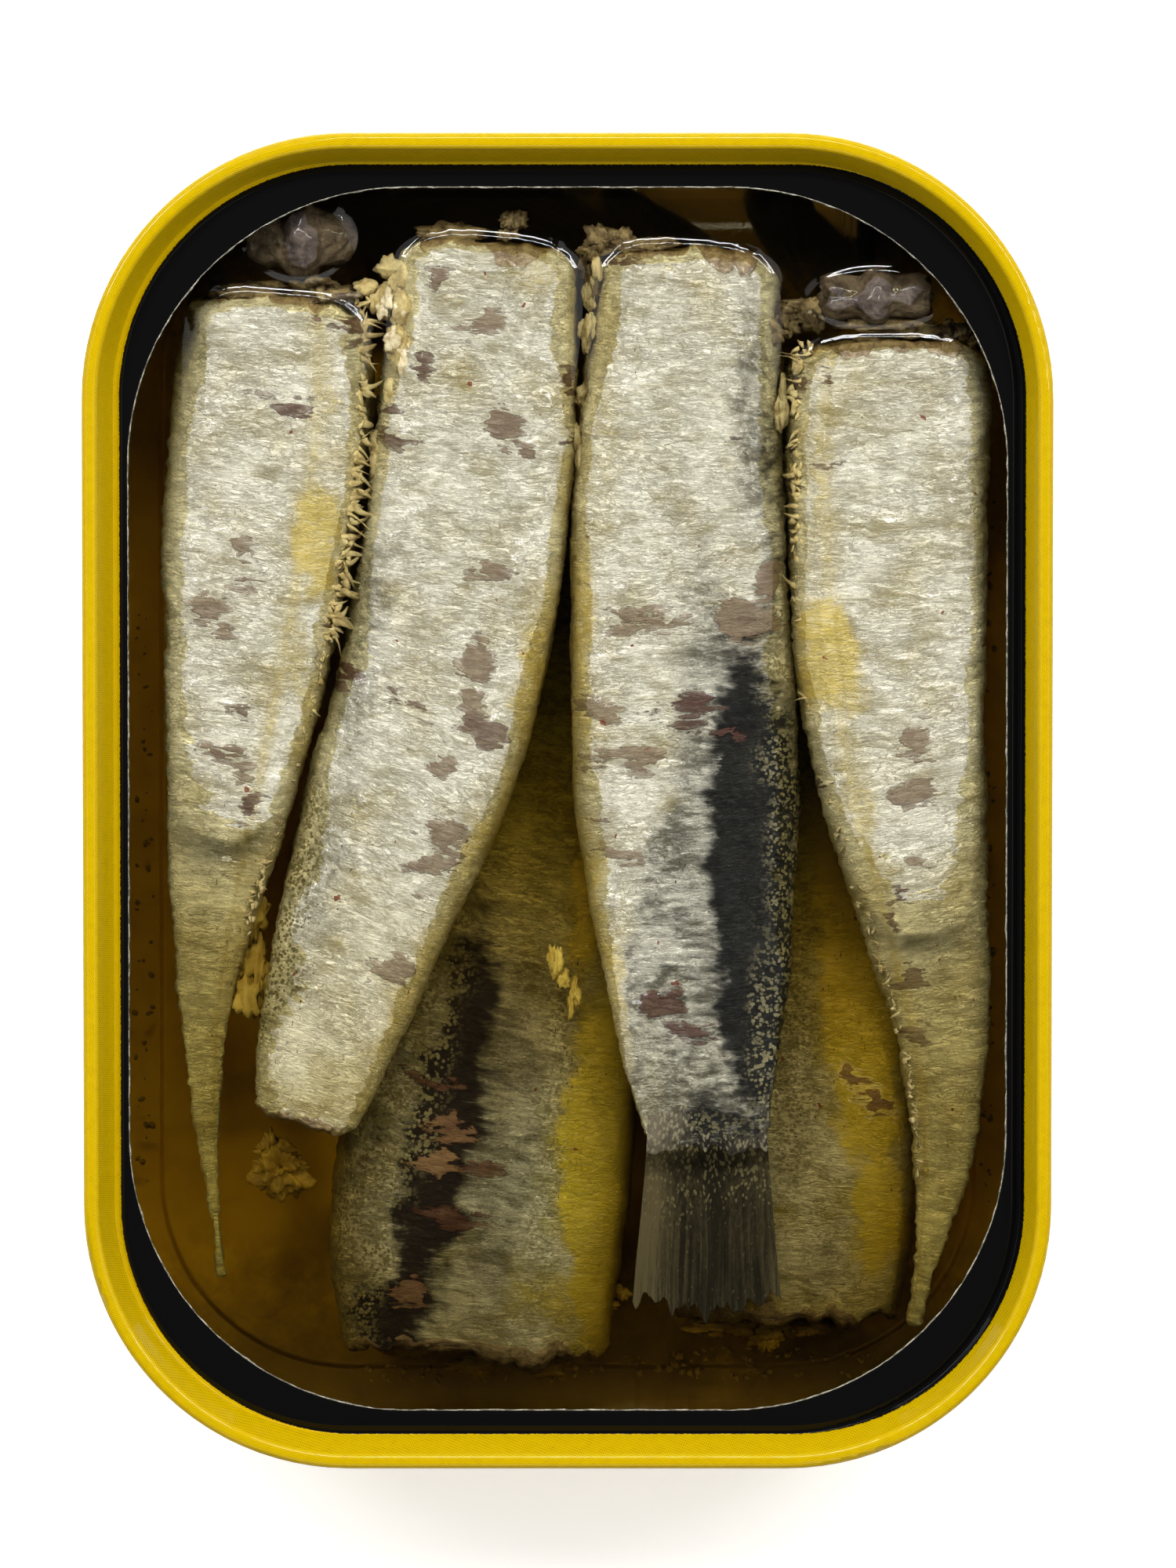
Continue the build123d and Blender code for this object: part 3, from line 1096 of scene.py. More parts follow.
@dataclass(frozen=True)
class Fish:
    """A headless fish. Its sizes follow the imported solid, which its skin stands for."""

    node: str
    layer: Layer
    spine: tuple[tuple[float, float], ...]
    head_width: float
    girth: float
    girth_at: float
    tail_width: float
    taper: float
    thickness: float
    tail_thickness: float
    looks: Looks
    tail_drop: float = 0.0
    thinning: float = 2.0
    seed: int = 1

    spine_steps = 400
    squareness = 0.85
    top_squareness = 0.60
    end_rings = 26
    end_power = 0.7
    crowding = 0.35
    film_span = (4.0, -34.0)
    grids = {Layer.UPPER: (350, 140), Layer.LOWER: (270, 114)}

    def rings(self) -> tuple[Array, Array]:
        """Space the rings: evenly along the body, and closely round its two ends.

        Returns:
            Each ring's share of the length, and the share of its full size that it has.
        """
        count = self.grids[self.layer][0] - 2 * self.end_rings
        turn = np.linspace(0.02, np.pi / 2, self.end_rings, endpoint=False)
        length = self.length()
        head = self.looks.head_round / length * (1.0 - np.cos(turn))
        tail = self.looks.tail_round / length * (1.0 - np.cos(turn[::-1]))
        body = np.linspace(self.looks.head_round, length - self.looks.tail_round, count) / length
        close = np.sin(turn) ** self.end_power
        return (np.concatenate([head, body, 1.0 - tail]),
                np.concatenate([close, np.ones(count), close[::-1]]))

    def spine_at(self, shares: Array) -> tuple[Array, Array]:
        """Follow the spine.

        Args:
            shares: Places along the spine, from 0 at the cut end to 1.

        Returns:
            The points of the spine in plan, and its directions there.
        """
        knots = np.array(self.spine)
        steps = np.concatenate([[0.0], np.cumsum(np.hypot(*np.diff(knots, axis=0).T))])
        fine = np.linspace(0.0, steps[-1], self.spine_steps)
        curve = np.stack([natural_curve(steps, knots[:, axis], fine) for axis in (0, 1)], axis=-1)
        length = np.concatenate([[0.0], np.cumsum(np.hypot(*np.diff(curve, axis=0).T))])
        slope = np.gradient(curve, axis=0)
        slope /= np.linalg.norm(slope, axis=1, keepdims=True)
        at = shares * length[-1]
        x, y, way_x, way_y = (np.interp(at, length, row) for row in (*curve.T, *slope.T))
        return np.stack([x, y], axis=-1), np.stack([way_x, way_y], axis=-1)

    def length(self) -> float:
        """Give the length along the spine."""
        points, _ = self.spine_at(np.linspace(0.0, 1.0, self.spine_steps))
        return float(np.hypot(*np.diff(points, axis=0).T).sum())

    def fall_at(self, share: Array) -> Array:
        """Give the share of the girth that is left on the way to the tail."""
        rest = np.clip((share - self.girth_at) / (1 - self.girth_at), 0.0, 1.0)
        return np.maximum(np.cos(np.pi / 2 * rest), 0.0) ** self.taper

    def width_at(self, share: Array) -> Array:
        """Give the width in plan."""
        swell = np.sin(np.pi / 2 * np.clip(share / self.girth_at, 0.0, 1.0))
        growing = self.head_width + (self.girth - self.head_width) * swell
        falling = self.tail_width + (self.girth - self.tail_width) * self.fall_at(share)
        return np.where(share < self.girth_at, growing, falling)

    def thickness_at(self, share: Array) -> Array:
        """Give the height from the underside to the top."""
        growing = self.thickness * (0.9 + 0.1 * share / self.girth_at)
        fall = self.fall_at(share) ** self.thinning
        falling = self.tail_thickness + (self.thickness - self.tail_thickness) * fall
        return np.where(share < self.girth_at, growing, falling)

    def middle_at(self, share: Array) -> Array:
        """Give the height of the spine over the table."""
        low, high = node_box(self.node)
        half = self.thickness_at(share) / 2
        if self.layer is Layer.LOWER:
            return low[2] + half
        return high[2] - self.tail_drop * ease(share, 0.3, 1.0) - half

    def body(self) -> tuple[Array, Array, Array, Array]:
        """Lay the rings of the smooth body.

        Returns:
            The points, and each one's place along the body, its place across it and its share
            of the half width to the side.
        """
        rows, columns = self.grids[self.layer]
        shares, close = self.rings()
        phase = np.linspace(-0.5, 0.5, columns, endpoint=False)
        turns = np.pi / 2 + 2 * np.pi * phase - self.crowding * np.sin(2 * np.pi * phase)
        spine, way = self.spine_at(shares)
        half_width = (self.width_at(shares) / 2 * close)[:, None]
        half_height = (self.thickness_at(shares) / 2 * close)[:, None]
        cosine, sine = np.cos(turns), np.sin(turns)
        power = np.where(sine > 0, self.top_squareness, self.squareness)
        side = half_width * np.sign(cosine) * np.abs(cosine) ** power
        rise = half_height * np.sign(sine) * np.abs(sine) ** power
        points = np.stack(
            [spine[:, :1] + way[:, 1:] * side,
             spine[:, 1:] - way[:, :1] * side,
             self.middle_at(shares)[:, None] + rise], axis=-1)
        along = (shares * self.length())[:, None] * np.ones(columns)
        ring = np.linalg.norm(np.diff(points, axis=1, append=points[:, :1]), axis=-1)
        across = np.cumsum(ring, axis=1) - ring
        across -= across[:, columns // 2][:, None]
        level_way = np.append(way, np.zeros((rows, 1)), axis=1)[:, None, :]
        points = points + self.raggedness(along, side)[..., None] * level_way
        return points, along, across, side / np.maximum(half_width, 0.1)

    def skin(self) -> bpy.types.Object:
        """Build the skin with its relief and the fields that its finish reads.

        Returns:
            The closed skin.
        """
        points, along, across, lean = self.body()
        _, close = self.rings()
        fields = self.fields(points, along, across)
        if self.looks.keel is not None:
            belly = 0.55 * np.exp(-((lean - self.looks.keel) / 0.12) ** 2)
            fields["yellow"] = np.maximum(fields["yellow"], belly)
        swell, crinkle = self.relief(along, across, lean, fields)
        points += surface_normals(points) * ((swell + crinkle) * close[:, None] ** 2)[..., None]
        # The shader reads relief to paint highlights on the crests and shade in the hollows.
        fields["relief"] = np.clip(crinkle * 2.5 + 0.5, 0.0, 1.0)
        fields["flow"] = np.stack([along, across, np.full_like(along, self.seed * 17.0)], axis=-1)
        return add_mesh(
            self.node + "_skin", points.reshape(-1, 3), tube_faces(*self.grids[self.layer]),
            {key: value.reshape(-1, 3) if value.ndim == 3 else value.ravel()
             for key, value in fields.items()},
        )

    def raggedness(self, along: Array, side: Array) -> Array:
        """Work out how far the torn ends are drawn in along the spine.

        Args:
            along: Places along the body.
            side: Places to the side of the spine.

        Returns:
            Shifts along the spine in millimetres.
        """
        noise = Noise(self.seed + 80)
        wave = noise.layered(side * 0.28, side * 0.0, layers=4)
        head = (0.45 + wave) * np.exp(-along / 2.0)
        tail = (0.45 + wave) * np.exp((along - self.length()) / 1.6)
        return self.looks.head_rag * head - self.looks.tail_rag * tail

    def fields(self, points: Array, along: Array, across: Array) -> dict[str, Array]:
        """Work out where each colour lies.

        Args:
            points: Points of the smooth body.
            along: Places along the body.
            across: Places across it.

        Returns:
            One number a point for each field.
        """
        noise = Noise(self.seed)
        x, y = points[..., 0], points[..., 1]
        shift_x = noise.layered(x * 0.35, y * 0.35, layers=4)
        shift_y = noise.layered(x * 0.35 + 40.0, y * 0.35, layers=4)
        wide_x, wide_y = x + shift_x, y + shift_y
        tear, tone = nearest(self.looks.tears, x + shift_x * 0.75, y + shift_y * 0.75)
        middle = self.middle_at(np.clip(along / self.length(), 0, 1))
        under = ease(points[..., 2] - middle, 0.5, -1.5)
        tear = np.where(under > 0.5, FAR, tear)
        ragged = noise.layered(across * 0.45, along * 0.3, layers=4) * 1.3
        head = ease(along + ragged, self.looks.head_flesh + 0.4, self.looks.head_flesh - 0.4)
        rest = self.length() - along
        tail = ease(rest + ragged, self.looks.tail_flesh + 0.4, self.looks.tail_flesh - 0.4)
        return {
            "tear": np.clip(tear, -3.0, 3.0),
            "tone": tone,
            "yellow": cover(self.looks.yellow, wide_x, wide_y, 1.1),
            "back": cover(self.looks.back, wide_x, wide_y, 2.2),
            "steel": cover(self.looks.steel, wide_x, wide_y, 1.8),
            "freckle": cover(self.looks.freckles, wide_x, wide_y, 0.9),
            "specks": cover(self.looks.specks, wide_x, wide_y, 0.8),
            "flesh": np.maximum(head, tail),
            "film": self.looks.film * ease(y, *self.film_span),
        }

    def relief(
        self, along: Array, across: Array, lean: Array, fields: dict[str, Array]
    ) -> tuple[Array, Array]:
        """Work out how far the crumpled skin stands off the smooth body.

        Args:
            along: Places along the body.
            across: Places across it.
            lean: Share of the half width, from -1 to 1.
            fields: Where each colour lies.

        Returns:
            Heights in millimetres of the broad swells and of the fine crinkles.
        """
        noise = Noise(self.seed + 50)
        swell = noise(along * 0.10, across * 0.16) * 0.40 + noise(along * 0.3, across * 0.3) * 0.14
        bend = noise(along * 0.22, across * 0.22) * 1.5
        drift = noise(along * 0.5 + 20.0, across * 0.5) * 0.6
        foil = noise.creased(along * 1.5 + bend + drift, across * 0.75 - bend * 0.6) - 0.55
        folds = noise.layered(along * 1.8 + bend * 0.9 + drift, across * 0.28, layers=2)
        gather = noise.layered(along * 0.45 + bend * 0.4, across * 0.3, layers=2)
        lumps = noise.layered(along * 0.9, across * 0.9, layers=3) * fields["flesh"] * 0.3
        calm = 1.0 - 0.65 * fields["yellow"]
        torn = ease(fields["tear"], 0.3, -0.3)
        height = (self.looks.crumple * foil * 0.38 + self.looks.ridges * folds * 0.19
                  + gather * 0.10) * calm
        if self.looks.keel is not None:
            gap = lean - self.looks.keel - noise(along * 0.15, across * 0.0) * 0.05
            fading = ease(along / self.length(), 0.62, 0.35)
            swell = swell + 0.15 * fading * np.exp(-(gap / 0.045) ** 2)
            swell = swell - 0.12 * fading * np.exp(-((np.abs(gap) - 0.09) / 0.035) ** 2)
        return swell, height * (1.0 - torn * 0.6) - torn * 0.16 + lumps - fields["flesh"] * 0.15

    def outside(self, x: Array, y: Array, level: float) -> Array:
        """Measure how far points lie outside the body's outline at a height.

        Args:
            x: Places along X.
            y: Places along Y.
            level: Height of the cut.

        Returns:
            Rough distances, negative inside.
        """
        shares, close = self.rings()
        spine, way = self.spine_at(shares)
        half = self.thickness_at(shares) / 2 * close
        high = np.clip(np.abs(level - self.middle_at(shares)) / half, 0.0, 1.0)
        round_off = (1.0 - high ** (2 / self.top_squareness)) ** (self.top_squareness / 2)
        reach = self.width_at(shares) / 2 * close * round_off
        best = np.full(x.shape, np.inf)
        for (at_x, at_y), (way_x, way_y), limit, lifted in zip(spine, way, reach, high):
            if lifted >= 1.0:
                continue
            ahead = np.abs((x - at_x) * way_x + (y - at_y) * way_y)
            beside = np.abs((x - at_x) * way_y - (y - at_y) * way_x) - limit
            best = np.minimum(best, np.where(beside > 0, np.hypot(ahead, beside),
                                             np.maximum(ahead - 0.3, beside)))
        return best

    def build(self, finish: SkinFinish) -> bpy.types.Object:
        """Build the fish, dress it and set it in its node's place.

        Args:
            finish: Finish of the skin.

        Returns:
            The skin.
        """
        piece = self.skin()
        dress(piece, finish.material(self.node + "_skin"))
        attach(piece, "root")
        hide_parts(self.node)
        return piece


@dataclass(frozen=True)
class TailFin:
    """The tail fin that one upper fish keeps: a thin fan of rays."""

    root: tuple[float, float]
    length: float = 12.2
    root_width: float = 9.3
    spread: float = 11.8
    notch: float = -1.6
    thickness: float = 0.5
    overlap: float = 5.4
    height: float = 16.10
    rays: int = 34
    rows: int = 120
    columns: int = 180
    seed: int = 91

    def width_at(self, u: Array) -> Array:
        """Give the width at shares of the length."""
        return self.root_width + (self.spread - self.root_width) * u**1.6

    def plan(self, noise: Noise, u: Array, v: Array) -> tuple[Array, Array]:
        """Work out where the fin's points lie in plan.

        Args:
            noise: Noise that frays the fin.
            u: Shares of the length, from 0 at the root.
            v: Shares of the half width, from -1 to 1.

        Returns:
            Places along X and along Y.
        """
        ragged = noise.layered(v * 5.0, v * 0.0, layers=5) * 1.1 * u
        end = self.length - self.notch * (1 - np.abs(v)) + ragged
        root = noise.layered(v * 2.0 + 30.0, v * 0.0, layers=3) * 1.2 - 1.6 * v**2
        start = (self.overlap + root) * (1 - u)
        x = self.root[0] + v * self.width_at(u) / 2 + noise(u * 3.0, v * 2.0) * 0.15 * u
        return x, self.root[1] + start - u * end

    def heights(self, noise: Noise, u: Array, v: Array, ray: Array, fan: Array) -> Array:
        """Work out how high the fin's upper side lies.

        Args:
            noise: Noise that bends the fin.
            u: Shares of the length, from 0 at the root.
            v: Shares of the half width, from -1 to 1.
            ray: Relief of the rays, mostly between -1 and 1.
            fan: How far the root has turned into open rays, from 0 to 1.

        Returns:
            Heights in millimetres.
        """
        bow = 0.5 * (1 - v**2) + noise(u * 2.5, v * 2.0) * 0.3 * u
        z = self.height + bow * (0.4 + 0.6 * u) + ray * 0.08 * fan
        z = z - 1.0 * ease(u, 0.22, 0.38) - 0.5 * ease(u, 0.4, 1.0)
        return z - 0.35 * ease(u, 0.06, 0.0)

    def build(self, finish: FinFinish) -> bpy.types.Object:
        """Build the fin as a closed thin shell.

        Args:
            finish: Finish of the fin.

        Returns:
            The fin.
        """
        noise = Noise(self.seed)
        u, v = np.meshgrid(np.linspace(0.0, 1.0, self.rows), np.linspace(-1.0, 1.0, self.columns),
                           indexing="ij")
        turn = v * self.rays
        ray = noise(turn * 0.5, u * 0.7) + noise(turn * 1.1, u * 1.6 + 9.0) * 0.7
        fan = ease(u + noise(v * 2.0 + 5.0, u * 3.0) * 0.12, 0.30, 0.75)
        x, y = self.plan(noise, u, v)
        top = np.stack([x, y, self.heights(noise, u, v, ray, fan)], axis=-1)
        edge = np.clip(np.minimum(1 - np.abs(v), np.minimum(u, 1 - u)) * 12, 0.0, 1.0)
        bottom = top - np.stack([x * 0, y * 0, 0.05 + self.thickness * edge], axis=-1)

        count = self.rows * self.columns
        quads, loop = sheet_faces(self.rows, self.columns)
        quads = quads[:, [0, 3, 2, 1]]
        following = np.roll(loop, -1)
        sides = np.stack([loop, following, following + count, loop + count], axis=-1)
        faces = quads.tolist() + (quads[:, ::-1] + count).tolist() + sides.tolist()

        flow = np.stack([u * self.length, v * self.width_at(u) / 2, u * 0 + 5.0], axis=-1)
        relief = np.clip(ray * 0.6 * fan + 0.4 + ease(v, -0.35, -0.9) * 0.9
                         - np.exp(-((v - 0.15) / 0.35) ** 2) * 0.5, 0.0, 1.6)
        piece = add_mesh(
            "tail_fin", np.concatenate([top, bottom]).reshape(-1, 3), faces,
            {"flow": np.concatenate([flow, flow]).reshape(-1, 3),
             "relief": np.concatenate([relief, relief]).ravel(),
             "fan": np.concatenate([fan, fan]).ravel()},
        )
        dress(piece, finish.material("tail_fin"))
        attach(piece, "root")
        return piece


@dataclass(frozen=True)
class Fringe:
    """Torn threads and beads of skin along one side of a fish's belly."""

    name: str
    side: int
    start: float
    end: float
    count: int
    reach: float
    seed: int
    lean: float = 0.86
    drop: float = 1.5
    rings: int = 9
    columns: int = 8

    def build(self, fish: Fish, finish: SoftFinish) -> bpy.types.Object:
        """Build every thread as one joined mesh.

        Args:
            fish: The fish that the threads hang from.
            finish: Finish of the threads.

        Returns:
            The threads.
        """
        draw = np.random.default_rng(self.seed)
        shares = draw.uniform(self.start, self.end, self.count)
        spine, way = fish.spine_at(shares)
        half = fish.width_at(shares) / 2
        top = node_box(fish.node)[1][2] - self.drop
        threads = []
        for at, (ahead, across), limit in zip(spine, way, half):
            out = np.array([across, -ahead]) * self.side
            root = at + out * limit * (self.lean + draw.uniform(-0.07, 0.07))
            threads.append(self.thread(draw, root, out, top))
        piece = add_copies(self.name, threads, tube_faces(self.rings, self.columns))
        dress(piece, finish.material(self.name))
        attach(piece, "root")
        return piece

    def thread(self, draw: np.random.Generator, root: Array, out: Array, top: float) -> Array:
        """Work out the points of one tapering, curled thread.

        Args:
            draw: Where its random sizes come from.
            root: Where it leaves the fish, in plan.
            out: The way outwards from the fish there.
            top: Greatest height of its middle line at the root.

        Returns:
            One row for each point, ring by ring.
        """
        turn = np.linspace(0.0, 2 * np.pi, self.columns, endpoint=False)
        run = np.linspace(0.0, 1.0, self.rings)[:, None]
        angle = draw.normal(0.0, 0.9)
        heading = np.array([out[0] * math.cos(angle) - out[1] * math.sin(angle),
                            out[0] * math.sin(angle) + out[1] * math.cos(angle)])
        length = self.reach * draw.uniform(0.25, 1.0) ** 1.5
        thick = draw.uniform(0.12, 0.36)
        curl = draw.normal(0.0, 0.9) * length
        bent = np.array([-heading[1], heading[0]])
        path = root + heading * run * length + bent * run**2 * curl
        level = top - draw.uniform(0.0, 0.5) + np.sin(np.pi * run) * 0.25 - run * 0.4
        size = thick * (1.0 - run**6) ** 0.5 * (1.0 - 0.45 * run) + 0.02
        ring = np.stack([
            path[:, :1] + bent[0] * np.cos(turn) * size,
            path[:, 1:] + bent[1] * np.cos(turn) * size,
            level + np.sin(turn) * size * 0.6], axis=-1)
        return ring.reshape(-1, 3)


@dataclass(frozen=True)
class Scraps:
    """Torn lumps of flesh. Each is given by its middle and its extent along X, Y and Z."""

    name: str
    lumps: tuple[tuple[float, float, float, float, float, float], ...]
    seed: int
    roughness: float = 0.7
    pieces: int = 5
    rows: int = 20
    columns: int = 18

    def build(self, finish: SoftFinish) -> bpy.types.Object:
        """Build all lumps as one joined mesh.

        Args:
            finish: Finish of the flesh.

        Returns:
            The lumps.
        """
        ball = unit_ball(self.rows, self.columns, 0.03)
        noise, draw = Noise(self.seed), np.random.default_rng(self.seed)
        shapes = []
        for lump in self.lumps:
            middle, extent = np.array(lump[:3]), np.array(lump[3:])
            for _ in range(self.pieces):
                place = middle + draw.normal(0.0, 0.24, 3) * extent * (1, 1, 0.5)
                rough = noise.layered(
                    *(ball[..., axis] * 1.5 + draw.uniform(0, 90) for axis in range(3)))
                size = (1.0 + rough * self.roughness)[..., None]
                scale = extent / 2 * draw.uniform(0.35, 0.8, 3)
                shapes.append((ball * size * scale).reshape(-1, 3) + place)
        piece = add_copies(self.name, shapes, tube_faces(self.rows, self.columns))
        dress(piece, finish.material(self.name))
        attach(piece, "root")
        return piece


@dataclass(frozen=True)
class Tissue:
    """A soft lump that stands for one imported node."""

    node: str
    slot: str
    lobes: int
    seed: int
    roughness: float = 0.12
    pitch: float = 2.2
    fullness: float = 1.0
    rows: int = 90
    columns: int = 72

    def build(self, finish: SoftFinish) -> bpy.types.Object:
        """Build the lump inside its node's box.

        Args:
            finish: Finish of the tissue.

        Returns:
            The lump.
        """
        low, high = node_box(self.node)
        middle, half = (low + high) / 2, (high - low) / 2
        noise = Noise(self.seed)
        ball = unit_ball(self.rows, self.columns, 0.02)
        swell = 1.0 + 0.14 * np.cos(ball[..., 0] * np.pi * self.lobes)
        rough = noise.layered(*(ball[..., axis] * self.pitch for axis in range(3)), layers=5)
        size = (self.fullness * swell * (1.0 + rough * self.roughness))[..., None]
        points = middle + ball * half * np.clip(size, 0.3, 1.15) * 0.95
        piece = add_mesh(self.node + "_tissue", points.reshape(-1, 3),
                         tube_faces(self.rows, self.columns))
        dress(piece, finish.material(self.node + "_tissue"))
        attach(piece, "root")
        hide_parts(self.node)
        return piece


# ---------------------------------------------------------------- the tin and the oil


@dataclass(frozen=True)
class Tin:
    """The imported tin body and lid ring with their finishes, and the torn edge of the lid."""

    radius: float = 20.8
    wall: float = 0.9
    opening: Outline = Outline(69.1, 96.5, 21.9)
    ledge_depth: float = 3.24
    burr: float = 0.085
    burr_rise: float = 0.17
    burr_reach: float = 0.06
    burr_pitch: float = 0.14
    steps: int = 2400
    columns: int = 6

    def outline(self, inset: float = 0.0, shift: tuple[float, float] = (0.0, 0.0)) -> Outline:
        """Give the tin's plan outline.

        Args:
            inset: How far in from the seam's outer edge.
            shift: Sideways shift, for a print that is off centre.

        Returns:
            The outline.
        """
        low, high = node_box("lid_ring")
        size = high - low
        return Outline(size[0] - 2 * inset, size[1] - 2 * inset, self.radius - inset, shift)

    def build(self, depth: Depth) -> bpy.types.Object:
        """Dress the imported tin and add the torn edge.

        Args:
            depth: Tint of what lies under the oil.

        Returns:
            The torn edge.
        """
        golden = Depth(depth.level, amber=(0.62, 0.46, 0.006), darkening=60.0)
        lacquer = LacquerFinish(golden, self.outline())
        printed = PrintFinish(self.outline(shift=(0.38, -0.08)))
        dress(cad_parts["tin_body"], lacquer.material("tin_lacquer"))
        dress(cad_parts["lid_ring"], printed.material("lid_print"))
        return self.torn_edge()

    def torn_edge(self) -> bpy.types.Object:
        """Build the thin ragged burr along the cut.

        Returns:
            The burr.
        """
        noise = Noise(7)
        path = self.opening.walk(self.steps)
        ahead = np.roll(path, -1, axis=0) - np.roll(path, 1, axis=0)
        ahead /= np.linalg.norm(ahead, axis=1, keepdims=True)
        inward = np.stack([-ahead[:, 1], ahead[:, 0]], axis=-1)
        run = np.arange(self.steps) * self.burr_pitch
        rough = noise.layered(run * 0.8, run * 0.0, layers=4)
        thick = self.burr * (0.75 + 0.4 * np.clip(rough, -0.8, 1.2))
        top = node_box("lid_ring")[1][2] - self.ledge_depth + self.burr_rise
        rings = []
        for angle in np.linspace(0.0, 2 * np.pi, self.columns, endpoint=False):
            reach = thick * np.cos(angle) + self.burr_reach + rough * 0.04
            rings.append(np.column_stack([path + inward * reach[:, None],
                                          top + thick * np.sin(angle)]))
        points = np.stack(rings, axis=1)
        index = np.arange(self.steps * self.columns).reshape(self.steps, self.columns)
        after = np.roll(index, -1, axis=0)
        quads = np.stack([index, np.roll(index, -1, axis=1), np.roll(after, -1, axis=1), after],
                         axis=-1)
        piece = add_mesh("torn_edge", points.reshape(-1, 3), quads.reshape(-1, 4).tolist())
        dress(piece, BareSteel().material("torn_edge"))
        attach(piece, "root")
        return piece


@dataclass(frozen=True)
class Oil:
    """The oil: a closed body whose surface creeps up whatever stands in it."""

    level: float
    floor: float
    outline: Outline
    columns: int = 280
    coarse: float = 0.60
    fine: float = 0.15
    fine_from: float = 34.0
    fine_to: float = 46.0
    creep: float = 0.48
    reach: float = 0.74
    shelf: float = 0.35
    calm_creep: float = 0.2
    wall_creep: float = 0.25
    lively_from: float = 30.0
    lively_to: float = 38.0

    def build(self, obstacles: list[Callable[[Array, Array], Array]]) -> bpy.types.Object:
        """Build the oil round what stands in it.

        Args:
            obstacles: Each gives the distance to one thing at the oil's level.

        Returns:
            The oil.
        """
        back = self.outline.length / 2
        y = np.unique(np.concatenate([
            np.arange(-back, self.fine_from, self.coarse),
            np.arange(self.fine_from, self.fine_to, self.fine),
            np.arange(self.fine_to, back, self.coarse), [back]]))
        x = np.linspace(-1.0, 1.0, self.columns) * self.outline.half_width(y)[:, None]
        y = y[:, None] * np.ones(self.columns)
        creep = self.wall_creep * np.exp(-np.maximum(self.outline.inset_of(x, y), 0) / self.reach)
        lively = ease(y, self.lively_from, self.lively_to)
        strength = self.calm_creep + (self.creep - self.calm_creep) * lively
        for distance in obstacles:
            gap = np.maximum(distance(x, y) - self.shelf, 0.0)
            creep = np.maximum(creep, strength * np.exp(-gap / self.reach))
        top = np.stack([x, y, self.level + creep], axis=-1)
        top = top.reshape(-1, 3)
        quads, loop = sheet_faces(len(y), self.columns)
        foot = top[loop]
        foot[:, 2] = self.floor
        edge = np.arange(len(loop))
        after, below = np.roll(edge, -1), len(top) + edge
        walls = np.stack([loop[after], loop, below, below[after]], axis=-1)
        faces = quads.tolist() + walls.tolist() + [below[::-1].tolist()]
        piece = add_mesh("oil_body", np.concatenate([top, foot]), faces)
        dress(piece, OilFinish().material("oil"))
        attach(piece, "root")
        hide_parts("oil")
        return piece


@dataclass(frozen=True)
class Crumbs:
    """Loose crumbs of flesh on the floor. Each area has a height, a size and a count."""

    areas: tuple[tuple[Spot, float, float, int], ...]
    seed: int = 23
    rows: int = 7
    columns: int = 9

    def build(self, finish: SoftFinish) -> bpy.types.Object:
        """Build all crumbs as one joined mesh.

        Args:
            finish: Finish of the crumbs.

        Returns:
            The crumbs.
        """
        draw = np.random.default_rng(self.seed)
        ball = unit_ball(self.rows, self.columns, 0.15).reshape(-1, 3)
        shapes = []
        for spot, height, size, count in self.areas:
            for _ in range(count):
                angle, radius = draw.uniform(0, 2 * np.pi), np.sqrt(draw.uniform())
                place = np.array([spot.x + spot.length / 2 * radius * np.cos(angle),
                                  spot.y + spot.width / 2 * radius * np.sin(angle),
                                  height + draw.uniform(-0.3, 0.3)])
                scale = size * draw.uniform(0.35, 1.2) * draw.uniform(0.5, 1.0, 3)
                shape = ball * scale * draw.uniform(0.75, 1.2, (len(ball), 1))
                spin = draw.uniform(0, np.pi)
                twist = np.array([[np.cos(spin), -np.sin(spin), 0],
                                  [np.sin(spin), np.cos(spin), 0], [0, 0, 1]])
                shapes.append(shape @ twist.T + place)
        piece = add_copies("crumbs", shapes, tube_faces(self.rows, self.columns))
        dress(piece, finish.material("crumbs"))
        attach(piece, "root")
        return piece


# ---------------------------------------------------------------- the studio


@dataclass(frozen=True)
class Lamp:
    """One soft box: where it hangs, its size and its power."""

    name: str
    place: tuple[float, float, float]
    size: tuple[float, float]
    power: float

    def build(self) -> None:
        """Hang the lamp so that it faces the tin."""
        light = bpy.data.lights.new(self.name, "AREA")
        light.shape = "RECTANGLE"
        light.size, light.size_y = self.size
        light.energy = self.power
        lamp = bpy.data.objects.new(self.name, light)
        lamp.location = self.place
        x, y, z = -np.array(self.place) / np.linalg.norm(self.place)
        lamp.rotation_euler = (math.acos(-z), 0.0, math.atan2(-x, y))
        bpy.context.scene.collection.objects.link(lamp)


